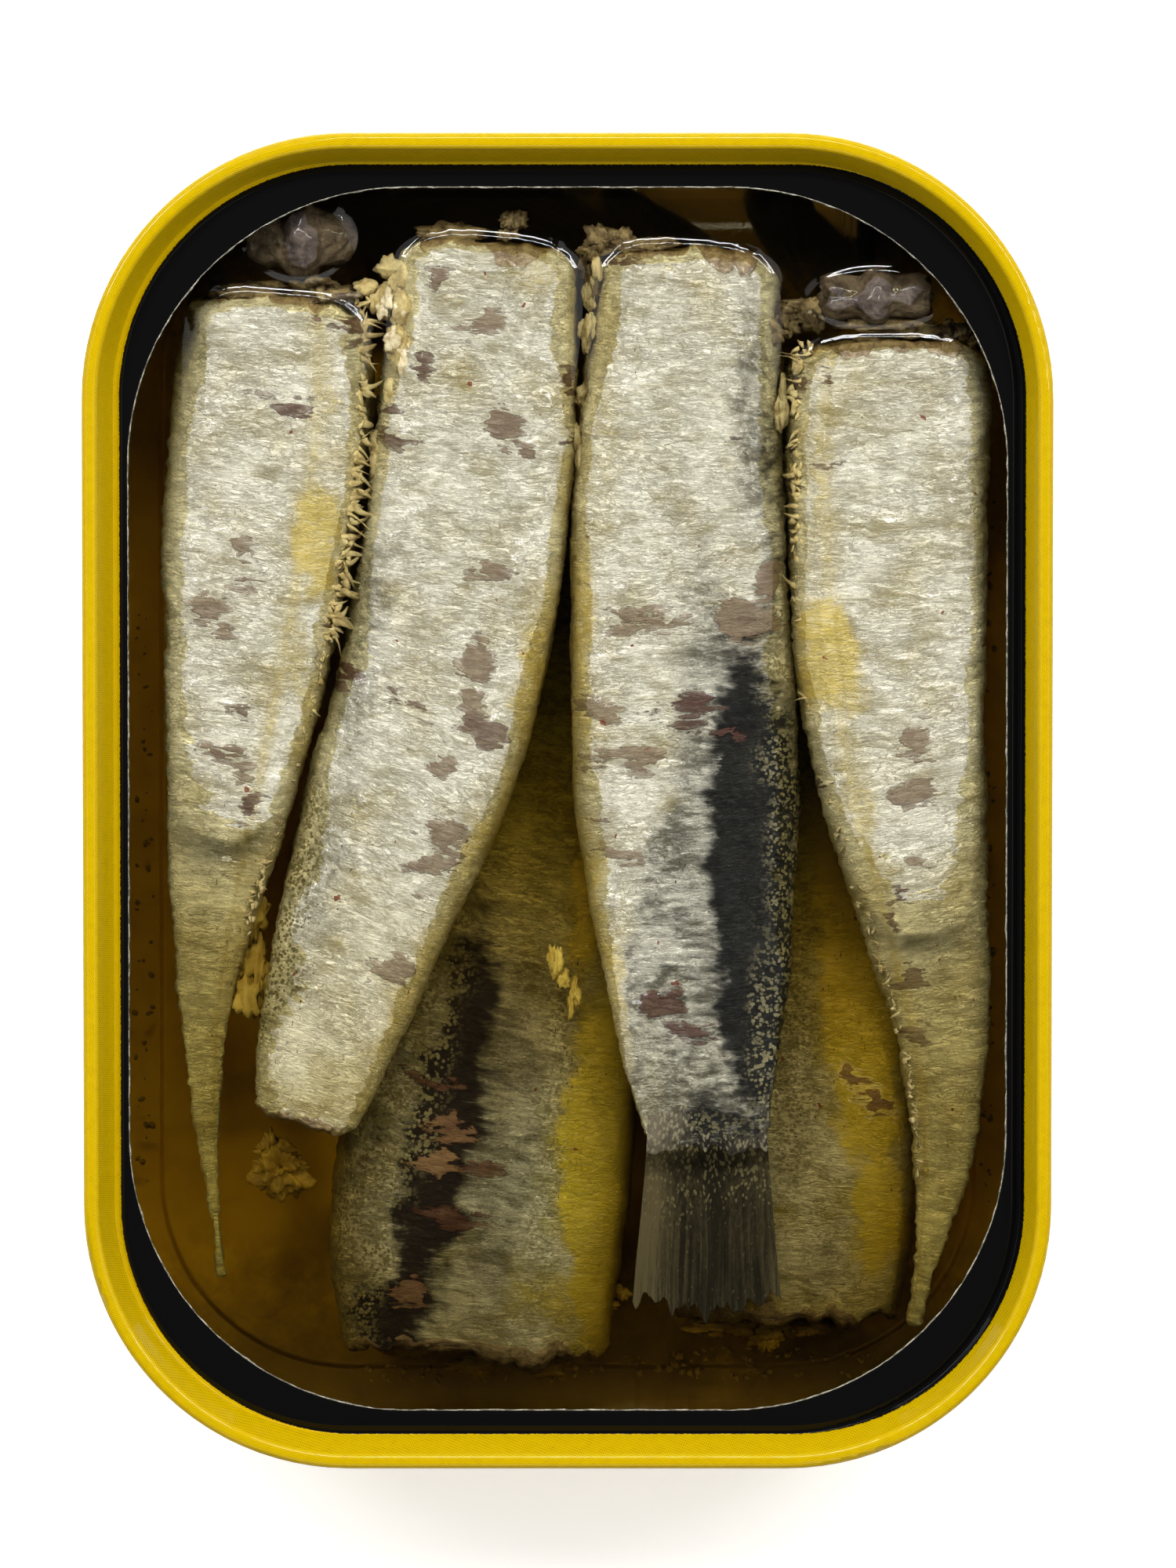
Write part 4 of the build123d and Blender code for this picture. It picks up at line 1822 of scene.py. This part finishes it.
@dataclass(frozen=True)
class Studio:
    """A pale floor, soft boxes, a plain sky and the camera that looks down on the tin."""

    aim: tuple[float, float, float] = (1.6, 1.57, 21.5)
    distance: float = 1100.0
    tilt: float = 4.7
    view_height: float = 122.8
    sensor: float = 36.0
    span: float = 3000.0
    floor_dark: Colour = (0.86, 0.85, 0.84)
    floor_light: Colour = (0.90, 0.89, 0.88)
    floor_glow: float = 0.46
    sky_low: Colour = (0.30, 0.30, 0.30)
    sky_high: Colour = (0.02, 0.02, 0.02)
    sky_turn: float = 0.95
    sky_strength: float = 1.075
    sky_lean: float = 0.925
    lamps: tuple[Lamp, ...] = (
        Lamp("key_box", (0.0, 0.62, 0.72), (0.56, 0.08), 5.6),
        Lamp("key_left", (-0.50, 0.42, 0.72), (0.46, 0.08), 4.2),
        Lamp("key_right", (0.50, 0.42, 0.72), (0.46, 0.08), 4.2),
        Lamp("front_box", (0.0, -0.80, 0.75), (0.90, 0.50), 2.8),
        Lamp("right_box", (0.75, 0.30, 0.90), (0.90, 0.90), 3.8),
        Lamp("left_box", (-0.75, 0.30, 0.90), (0.90, 0.90), 2.9),
    )

    def build(self) -> None:
        """Set up the floor, the lamps, the sky and the camera."""
        self.floor()
        for lamp in self.lamps:
            lamp.build()
        self.sky()
        self.camera()
        bpy.context.scene.view_settings.view_transform = "Standard"

    def floor(self) -> None:
        """Lay the pale floor under the tin. Seen directly or mirrored it is brighter."""
        square = [(-1.0, -1.0, 0.0), (1.0, -1.0, 0.0), (1.0, 1.0, 0.0), (-1.0, 1.0, 0.0)]
        piece = add_mesh("floor", self.span * np.array(square), [[0, 1, 2, 3]])
        graph = Graph(bpy.data.materials.new("floor"))
        grain = graph.noise(None, 60.0, 3.0)
        colour = graph.blend(grain, self.floor_dark, self.floor_light)
        paper = graph.node("ShaderNodeBsdfDiffuse", None, {"Color": colour})
        path = graph.node("ShaderNodeLightPath")
        seen = sum(Value(graph, path.outputs[f"Is {kind} Ray"])
                   for kind in ("Camera", "Glossy", "Transmission")).least(1.0)
        glow = graph.node("ShaderNodeEmission", None,
                          {"Color": (*WHITE, 1.0), "Strength": seen * self.floor_glow})
        both = graph.node("ShaderNodeAddShader", None, {0: paper.outputs[0], 1: glow.outputs[0]})
        dress(piece, graph.finish(both.outputs[0]))

    def sky(self) -> None:
        """Light the room from all round: dim overhead, and brighter from the heads' end."""
        world = bpy.data.worlds.new("room")
        bpy.context.scene.world = world
        graph = Graph(world)
        _, y, z = graph.place("Generated")
        background = graph.node(
            "ShaderNodeBackground", None,
            {"Color": graph.blend(z / self.sky_turn, self.sky_low, self.sky_high),
             "Strength": y * self.sky_lean + self.sky_strength},
        )
        graph.node("ShaderNodeOutputWorld", None, {"Surface": background.outputs[0]})

    def camera(self) -> None:
        """Place the camera over the tin, leaning a little from the heads' end."""
        lens = bpy.data.cameras.new("camera")
        lens.sensor_width = self.sensor
        lens.lens = self.sensor * self.distance / self.view_height
        lens.clip_end = 20.0
        eye = bpy.data.objects.new("camera", lens)
        lean = math.radians(self.tilt)
        offset = np.array([0.0, math.sin(lean), math.cos(lean)]) * self.distance
        eye.location = (np.array(self.aim) + offset) * MM
        eye.rotation_euler = (-lean, 0.0, 0.0)
        bpy.context.scene.collection.objects.link(eye)
        bpy.context.scene.camera = eye


# ---------------------------------------------------------------- what is in this tin

LEFT = Fish(
    node="fish_left", layer=Layer.UPPER,
    spine=((-22.4, 39.9), (-24.0, 22.0), (-26.8, 0.5), (-28.6, -18.0), (-27.4, -38.4)),
    head_width=14.2, girth=15.8, girth_at=0.15, tail_width=0.9, taper=2.0,
    thickness=13.0, tail_thickness=1.6, tail_drop=4.2, seed=3,
    looks=Looks(
        tears=(
            Spot(-28.2, 14.8, 3.4, 2.2, -20, 0.35), Spot(-26.6, 13.4, 2.2, 1.0, 10, 0.35),
            Spot(-26.2, 20.4, 1.9, 0.9, -25, 0.4), Spot(-25.2, 17.0, 1.6, 0.9, 0, 0.45),
            Spot(-25.4, 18.8, 0.7, 0.4, 0, 0.5), Spot(-25.6, 7.2, 2.6, 1.0, -20, 0.6),
            Spot(-27.2, 3.6, 3.6, 1.4, -15, 0.5), Spot(-25.6, 2.2, 1.6, 0.8, -60, 0.5),
            Spot(-24.9, -0.9, 2.2, 0.9, 75, 0.85), Spot(-21.9, 31.2, 3.2, 0.8, -10, 0.9),
            Spot(-20.6, 30.2, 2.0, 0.6, 5, 0.8), Spot(-16.9, 37.2, 2.2, 1.6, -40, 1.0),
            Spot(-16.8, 35.6, 0.9, 0.7, 0, 0.9), Spot(-16.6, 31.3, 2.6, 0.7, 20, 0.8),
            Spot(-18.8, 38.2, 1.0, 0.6, 0, 0.9), Spot(-18.4, 13.4, 1.0, 0.4, 15, 1.0),
        ),
        yellow=(
            Spot(-19.8, 20.4, 4.2, 9.0), Spot(-20.9, 8.0, 2.2, 18.0, 5, 0.6),
            Spot(-19.0, 32.0, 1.6, 14.0, 0, 0.6), Spot(-25.4, -10.0, 2.6, 16.0, -6, 0.5),
        ),
        specks=(Spot(-18.5, 10.0, 2.0, 14.0, -10), Spot(-27.0, -8.0, 3.0, 22.0, 0)),
        ridges=1.0, crumple=0.45, keel=-0.44,
    ),
)
MID_LEFT = Fish(
    node="fish_mid_left", layer=Layer.UPPER,
    spine=((-5.9, 44.2), (-7.4, 27.0), (-10.2, 8.0), (-15.9, -9.0), (-21.2, -27.0)),
    head_width=14.2, girth=16.4, girth_at=0.42, tail_width=7.2, taper=0.8,
    thickness=10.6, tail_thickness=3.2, tail_drop=0.8, seed=5,
    looks=Looks(
        tears=(
            Spot(-6.4, 37.4, 3.4, 1.8, 15, 0.3), Spot(-10.2, 41.0, 1.8, 1.4, 0, 0.55),
            Spot(-4.8, 29.6, 2.4, 3.0, 20, 0.4), Spot(-3.6, 27.6, 1.0, 1.6, 40, 0.5),
            Spot(-6.3, 17.8, 2.6, 1.4, 5, 0.3), Spot(-7.2, 11.0, 2.8, 3.6, 0, 0.15),
            Spot(-7.4, 8.0, 2.4, 2.6, 0, 0.25), Spot(-6.6, 5.4, 3.4, 2.2, -35, 0.6),
            Spot(-12.3, 7.2, 2.4, 0.6, -40, 0.8), Spot(-9.9, 2.9, 2.6, 1.2, -25, 0.3),
            Spot(-9.7, -3.0, 4.0, 2.4, -10, 0.25), Spot(-10.2, -5.0, 5.2, 1.8, 15, 0.25),
            Spot(-13.7, -13.8, 2.8, 2.4, 0, 0.25), Spot(-11.9, -8.2, 1.0, 0.6, 0, 0.4),
            Spot(0.1, 32.6, 1.0, 2.6, 10, 0.75), Spot(-0.2, 28.4, 0.7, 0.4, 0, 1.0),
            Spot(-13.6, 28.4, 2.6, 1.2, 0, 0.7), Spot(-14.2, 31.0, 1.6, 0.9, 0, 0.8),
            Spot(-11.4, 34.4, 1.0, 1.6, 0, 0.8), Spot(-17.4, 9.6, 1.4, 1.0, 0, 1.0),
        ),
        yellow=(
            Spot(-2.4, 9.0, 3.0, 17.0, -6, 0.75), Spot(-5.6, -2.0, 2.8, 14.0, -24, 0.7),
            Spot(0.4, 26.0, 1.6, 30.0, -2, 0.6), Spot(-11.6, -14.0, 2.8, 20.0, -30, 0.6),
            Spot(-2.2, 41.6, 4.0, 4.0, 0, 0.5), Spot(-18.5, -23.0, 8.0, 6.0, 0, 0.4),
        ),
        steel=(Spot(-16.0, 13.0, 3.6, 24.0, -8, 0.7), Spot(-20.0, -9.0, 4.0, 26.0, -18, 0.5)),
        back=(Spot(-23.8, -9.0, 4.4, 34.0, -16, 0.5), Spot(-16.9, 20.0, 1.0, 16.0, -8, 0.6)),
        freckles=(Spot(-23.0, -12.0, 4.0, 28.0, -16),),
        specks=(Spot(-20.6, -12.0, 4.5, 26.0, -18),),
        ridges=0.55, crumple=0.8, tail_flesh=1.2, tail_round=2.2, tail_rag=1.4,
    ),
)
MID_RIGHT = Fish(
    node="fish_mid_right", layer=Layer.UPPER,
    spine=((9.62, 43.6), (8.7, 22.0), (9.2, 4.0), (10.0, -10.0), (11.0, -27.5)),
    head_width=13.8, girth=17.8, girth_at=0.58, tail_width=9.6, taper=1.2,
    thickness=10.6, tail_thickness=2.2, tail_drop=0.4, seed=9,
    looks=Looks(
        tears=(
            Spot(6.2, 14.4, 4.6, 1.3, -8, 0.45), Spot(5.2, 13.3, 2.8, 0.9, 5, 0.3),
            Spot(14.2, 14.4, 5.4, 3.4, -5, 0.4), Spot(15.6, 17.2, 2.4, 2.6, 0, 0.35),
            Spot(9.4, 7.4, 4.6, 1.4, 12, 0.95), Spot(9.6, 6.2, 2.0, 1.2, 0, 0.95),
            Spot(2.6, 6.8, 4.2, 1.6, -10, 0.2), Spot(5.0, 3.1, 6.0, 1.6, 8, 0.35),
            Spot(12.6, 4.9, 2.6, 0.7, 0, 0.95), Spot(12.8, 28.4, 0.7, 0.5, 0, 1.0),
            Spot(4.2, -4.6, 3.0, 1.4, -20, 0.3), Spot(2.4, -1.8, 1.0, 0.5, 0, 0.6),
            Spot(7.4, -16.2, 2.8, 2.8, -20, 0.8), Spot(9.4, -18.6, 3.4, 1.0, -5, 0.95),
            Spot(4.6, 42.6, 3.0, 1.0, 20, 0.8),
        ),
        yellow=(
            Spot(0.6, 10.0, 2.6, 30.0, 0, 0.7), Spot(2.2, -9.0, 2.8, 22.0, 12, 0.7),
            Spot(2.6, 34.0, 1.6, 18.0, 0, 0.5), Spot(6.4, -23.0, 2.0, 8.0, 0, 0.7),
        ),
        steel=(Spot(11.0, 4.0, 5.0, 30.0, 0, 0.9), Spot(9.4, -15.0, 8.6, 26.0, 0, 2.2),
               Spot(14.4, 30.0, 3.0, 18.0, 0, 0.9), Spot(5.6, -10.0, 3.0, 12.0, 10, 0.5)),
        back=(Spot(14.8, -7.0, 7.4, 40.0, 2, 1.3), Spot(16.6, 27.0, 2.6, 28.0, -4, 0.8),
              Spot(9.6, -15.0, 7.0, 22.0, 0, 0.40), Spot(12.0, -26.6, 10.0, 7.0, 0, 0.9)),
        freckles=(Spot(17.4, -4.0, 3.0, 38.0, 3, 0.9), Spot(15.6, -20.0, 2.6, 16.0, 0, 0.9),
                  Spot(9.0, -26.0, 9.0, 3.0, 0, 0.7)),
        specks=(Spot(9.0, -5.6, 7.0, 4.4), Spot(5.0, 36.0, 3.0, 9.0)),
        ridges=0.5, crumple=0.8, tail_round=1.4, film=0.5,
    ),
)
RIGHT = Fish(
    node="fish_right", layer=Layer.UPPER,
    spine=((25.15, 36.4), (25.2, 22.0), (26.5, 0.5), (29.8, -24.0), (27.4, -42.2)),
    head_width=15.0, girth=16.4, girth_at=0.1, tail_width=1.0, taper=1.25,
    thickness=12.0, tail_thickness=1.8, tail_drop=3.2, seed=13,
    looks=Looks(
        tears=(
            Spot(18.1, 33.2, 1.2, 1.2, 0, 0.7), Spot(20.4, 33.3, 0.6, 0.9, 0, 1.0),
            Spot(17.2, 31.6, 0.8, 0.4, 0, 1.0), Spot(17.1, 27.5, 1.6, 0.4, -10, 1.0),
            Spot(17.0, 24.2, 1.8, 0.35, 0, 0.9), Spot(21.0, 26.4, 1.6, 0.5, 5, 0.6),
            Spot(27.7, 4.4, 2.4, 3.4, 0, 0.15), Spot(26.8, 0.4, 3.4, 2.4, 0, 0.12),
            Spot(19.8, 1.2, 0.9, 0.8, 0, 1.0), Spot(26.1, -7.8, 0.9, 1.0, 0, 1.0),
            Spot(25.6, -9.6, 0.7, 1.6, 0, 0.5), Spot(27.1, -14.0, 2.4, 1.8, 30, 0.15),
            Spot(27.3, -18.8, 1.6, 1.0, 0, 0.2), Spot(28.0, -5.0, 1.8, 0.9, 0, 0.2),
            Spot(28.8, 35.2, 1.0, 0.7, 0, 0.7),
        ),
        yellow=(
            Spot(20.6, 11.2, 4.6, 10.6, 3), Spot(19.6, 26.0, 1.6, 20.0, 0, 0.7),
            Spot(23.0, -1.0, 2.6, 14.0, 12, 0.6), Spot(21.5, 33.5, 4.0, 4.0, 0, 0.4),
        ),
        specks=(Spot(17.4, 28.0, 1.8, 14.0), Spot(29.8, -16.0, 3.0, 24.0), Spot(20.6, 2.0, 2.2, 8.0)),
        ridges=1.0, crumple=0.45, keel=0.60,
    ),
)
UNDER_LEFT = Fish(
    node="fish_under_left", layer=Layer.LOWER,
    spine=((-7.6, -46.6), (-6.6, -30.0), (-3.4, -10.0), (-1.4, 6.0), (-0.4, 22.0)),
    head_width=20.0, girth=23.6, girth_at=0.22, tail_width=3.0, taper=1.35,
    thickness=13.4, tail_thickness=1.8, thinning=1.2, seed=17,
    looks=Looks(
        tears=(
            Spot(-9.4, -26.4, 4.4, 1.5, -15, 0.5), Spot(-10.2, -29.0, 4.0, 2.4, 0, 0.35),
            Spot(-6.6, -29.6, 3.4, 1.2, 0, 0.85), Spot(-9.0, -33.8, 6.4, 1.6, -8, 0.85),
            Spot(-12.5, -39.2, 3.0, 2.8, 0, 0.55), Spot(-10.6, -22.6, 4.4, 1.0, -10, 0.8),
        ),
        yellow=(Spot(3.0, -31.0, 7.0, 32.0, 0, 1.1), Spot(1.4, -9.0, 3.0, 14.0, -6),
                Spot(-1.0, -40.0, 8.0, 4.0, -20, 0.6)),
        back=(Spot(-9.9, -27.5, 6.0, 38.0, -11, 1.1), Spot(-14.0, -41.0, 6.6, 6.8, -20, 1.1),
              Spot(-14.0, -27.0, 6.6, 42.0, -16, 0.55), Spot(-5.4, -27.0, 4.6, 30.0, -8, 0.30)),
        steel=(Spot(-5.2, -27.0, 6.4, 36.0, -7, 0.75), Spot(-8.0, -41.6, 9.0, 4.0, -10, 0.5)),
        freckles=(Spot(-14.2, -27.0, 6.2, 42.0, -16), Spot(-17.0, -38.0, 5.0, 14.0, 0),
                  Spot(-1.4, -27.0, 3.0, 30.0, -6, 0.7)),
        specks=(Spot(-0.4, -26.0, 3.6, 30.0, -4),),
        ridges=0.3, crumple=0.7, head_flesh=2.4, head_rag=2.4, film=0.0,
    ),
)
UNDER_RIGHT = Fish(
    node="fish_under_right", layer=Layer.LOWER,
    spine=((16.8, -43.6), (17.8, -30.0), (19.8, -10.0), (19.4, 6.0), (17.6, 22.0)),
    head_width=18.0, girth=19.8, girth_at=0.2, tail_width=3.0, taper=1.4,
    thickness=12.7, tail_thickness=1.8, thinning=1.5, seed=19,
    looks=Looks(
        tears=(Spot(22.6, -22.4, 2.6, 1.2, -20, 0.4), Spot(24.4, -24.6, 2.0, 1.0, -20, 0.5)),
        yellow=(Spot(23.0, -14.0, 7.0, 34.0, 4), Spot(24.6, -33.0, 5.0, 12.0, 0, 0.9),
                Spot(12.0, -40.0, 6.0, 6.0, 0, 0.6)),
        steel=(Spot(19.6, -37.6, 7.0, 6.0, 20, 0.5), Spot(17.4, -22.0, 2.6, 24.0, 0, 0.4)),
        freckles=(Spot(17.4, -20.0, 4.0, 26.0, 0, 0.8),),
        back=(Spot(17.0, -20.0, 2.4, 26.0, 0, 0.35),),
        specks=(Spot(21.0, -18.0, 6.0, 20.0),),
        ridges=0.3, crumple=0.6, head_flesh=2.6, head_rag=2.2, film=0.4,
    ),
)

SHOAL = (LEFT, MID_LEFT, MID_RIGHT, RIGHT, UNDER_LEFT, UNDER_RIGHT)

FRINGES = (
    (Fringe("fringe_left", -1, 0.0, 0.34, 170, 1.7, 61), LEFT),
    (Fringe("fringe_left_low", -1, 0.30, 0.66, 110, 0.5, 62), LEFT),
    (Fringe("fringe_right", 1, 0.0, 0.36, 130, 1.1, 63), RIGHT),
    (Fringe("fringe_right_low", 1, 0.34, 0.85, 110, 0.45, 64), RIGHT),
)
HEAD_SCRAPS = (
    (-4.4, 45.0, 14.5, 2.4, 2.2, 2.4), (-8.6, 43.9, 14.0, 5.0, 2.2, 2.2),
    (3.4, 43.6, 14.3, 3.4, 2.6, 2.4), (7.4, 43.6, 14.1, 4.6, 1.8, 2.0),
    (17.4, 37.4, 14.5, 2.6, 3.2, 2.6), (19.6, 38.6, 14.5, 3.4, 2.6, 2.6),
    (30.6, 36.4, 13.6, 3.4, 2.2, 2.6), (-25.4, 39.8, 14.2, 5.4, 2.0, 2.2),
    (-19.9, 39.6, 14.4, 4.8, 2.0, 2.2), (25.6, 36.6, 14.4, 6.0, 1.8, 2.2),
    (1.6, 41.6, 13.6, 1.8, 5.0, 2.6), (15.2, 39.6, 13.8, 1.8, 4.0, 2.4),
)
PALE_SCRAPS = (
    (-13.2, 41.0, 14.7, 3.0, 2.6, 2.2), (-14.6, 38.4, 15.2, 2.8, 3.4, 2.4),
    (-13.2, 35.4, 15.0, 2.4, 4.4, 2.2), (-13.8, 31.0, 14.8, 2.2, 5.0, 2.2),
    (-14.4, 26.6, 14.4, 1.8, 4.0, 2.0), (1.7, 39.6, 14.4, 1.3, 2.6, 2.0),
    (1.6, 36.0, 14.4, 1.3, 3.0, 2.0), (1.5, 31.6, 14.2, 1.1, 3.0, 2.0),
    (1.0, 27.0, 14.2, 1.1, 3.4, 2.0), (16.9, 30.6, 14.4, 1.3, 4.0, 2.0),
)
LOOSE_SCRAPS = (
    (-23.2, -28.4, 10.4, 2.6, 3.2, 1.6), (-21.4, -30.4, 9.6, 2.4, 2.8, 1.4),
    (2.3, -41.4, 8.6, 1.6, 3.6, 1.4), (3.4, -40.0, 9.2, 2.4, 1.4, 1.2),
    (-1.0, -13.4, 14.4, 1.6, 3.0, 0.7), (0.6, -16.2, 14.0, 0.9, 3.4, 0.6),
    (11.6, -42.6, 9.0, 5.0, 2.0, 2.0), (15.6, -43.8, 8.6, 3.4, 2.4, 1.8),
    (20.4, -43.0, 8.6, 4.2, 1.8, 1.8), (-13.0, -44.6, 8.4, 4.6, 2.2, 2.2),
    (-7.4, -46.0, 8.0, 5.4, 2.0, 2.2), (-1.6, -45.4, 8.2, 4.0, 1.8, 2.0),
    (-24.8, -9.0, 13.2, 2.4, 5.0, 1.6), (-25.6, -14.2, 12.8, 2.6, 5.6, 1.6),
)
CRUMBS = (
    (Spot(14.0, -46.6, 26.0, 3.0), 1.6, 0.35, 70), (Spot(-8.0, -47.2, 20.0, 2.0), 2.0, 0.3, 40),
    (Spot(33.4, -2.0, 1.6, 70.0), 2.4, 0.3, 60), (Spot(-33.8, -10.0, 1.6, 60.0), 2.4, 0.3, 50),
)
GUTS = (Tissue("gut_left", "soft_tissue", 2, 31), Tissue("gut_right", "soft_tissue", 3, 33))
FLAKE = Tissue("flesh_flake", "fish_flesh", 1, 35, roughness=0.8, pitch=1.3, fullness=0.72)


def corners(box: Sequence) -> list[list[float]]:
    """Turn a box's two corners into plain lists."""
    return [[float(number) for number in corner] for corner in box]


def skin_finishes(level: float) -> dict[Layer, SkinFinish]:
    """Choose the skins: the upper fish just break the oil, and the lower ones lie deep in it.

    Args:
        level: Height of the oil's surface.

    Returns:
        The skin of each layer.
    """
    thin = Depth(level, clear=0.2, amber=(0.64, 0.53, 0.13), darkening=26.0)
    lower = SkinFinish(
        Depth(level), specular=0.15, metallic=0.34,
        # Lit and shaded tones of the silver: painted light and shade.
        shaded_silver=(0.32, 0.29, 0.13), lit_silver=(1.0, 0.97, 0.76), cream=(0.58, 0.49, 0.09),
        belly=(0.56, 0.44, 0.010), freckle=(0.32, 0.29, 0.16), back=(0.024, 0.017, 0.015),
        steel=(0.13, 0.11, 0.088), tan=(0.27, 0.165, 0.085), dusk=(0.16, 0.085, 0.048),
    )
    return {Layer.UPPER: SkinFinish(thin), Layer.LOWER: lower}


def obstacles(level: float) -> list[Callable[[Array, Array], Array]]:
    """List what breaks the oil's surface, each as a way to measure how far points lie outside.

    Args:
        level: Height of the oil's surface.

    Returns:
        One function for each upper fish and each lump of soft tissue.
    """
    found = [partial(fish.outside, level=level) for fish in SHOAL if fish.layer is Layer.UPPER]
    for gut in GUTS:
        low, high = node_box(gut.node)
        middle, size = (low + high) / 2, (high - low) * 0.8
        found.append(Spot(middle[0], middle[1], size[0], size[1]).distance)
    return found


def main() -> None:
    """Build the tin, its contents and the studio in order, and log each piece."""
    logging.basicConfig(level=logging.INFO, format="%(name)s %(message)s")
    level = float(node_box("oil")[1][2])
    depth = Depth(level)
    tin = Tin()
    report(tin.build(depth))

    skins = skin_finishes(level)
    for fish in SHOAL:
        report(fish.build(skins[fish.layer]))
    report(TailFin(root=MID_RIGHT.spine[-1]).build(FinFinish(depth)))

    gut_finish = SoftFinish(depth, light=(0.125, 0.098, 0.078), dark=(0.035, 0.026, 0.022))
    flesh = SoftFinish(depth, light=(0.60, 0.47, 0.12), dark=(0.40, 0.28, 0.05), blotch=0.5)
    thread = SoftFinish(depth, light=(0.66, 0.58, 0.37), dark=(0.34, 0.26, 0.13), blotch=0.7)
    cut = SoftFinish(depth, light=(0.27, 0.215, 0.125), dark=(0.07, 0.048, 0.030), blotch=0.9)
    for fringe, fish in FRINGES:
        report(fringe.build(fish, thread))
    report(Scraps("head_scraps", HEAD_SCRAPS, 71).build(cut))
    report(Scraps("pale_scraps", PALE_SCRAPS, 73, 0.4).build(thread))
    report(Scraps("loose_scraps", LOOSE_SCRAPS, 72).build(flesh))
    for gut in GUTS:
        report(gut.build(gut_finish))
    report(FLAKE.build(flesh))
    report(Crumbs(CRUMBS).build(flesh))

    inside = tin.outline(tin.wall + OIL_GAP)
    foot = float(node_box("oil")[0][2]) + OIL_LIFT
    report(Oil(level, foot, inside).build(obstacles(level)))

    Studio().build()


if __name__ == "__main__":
    main()
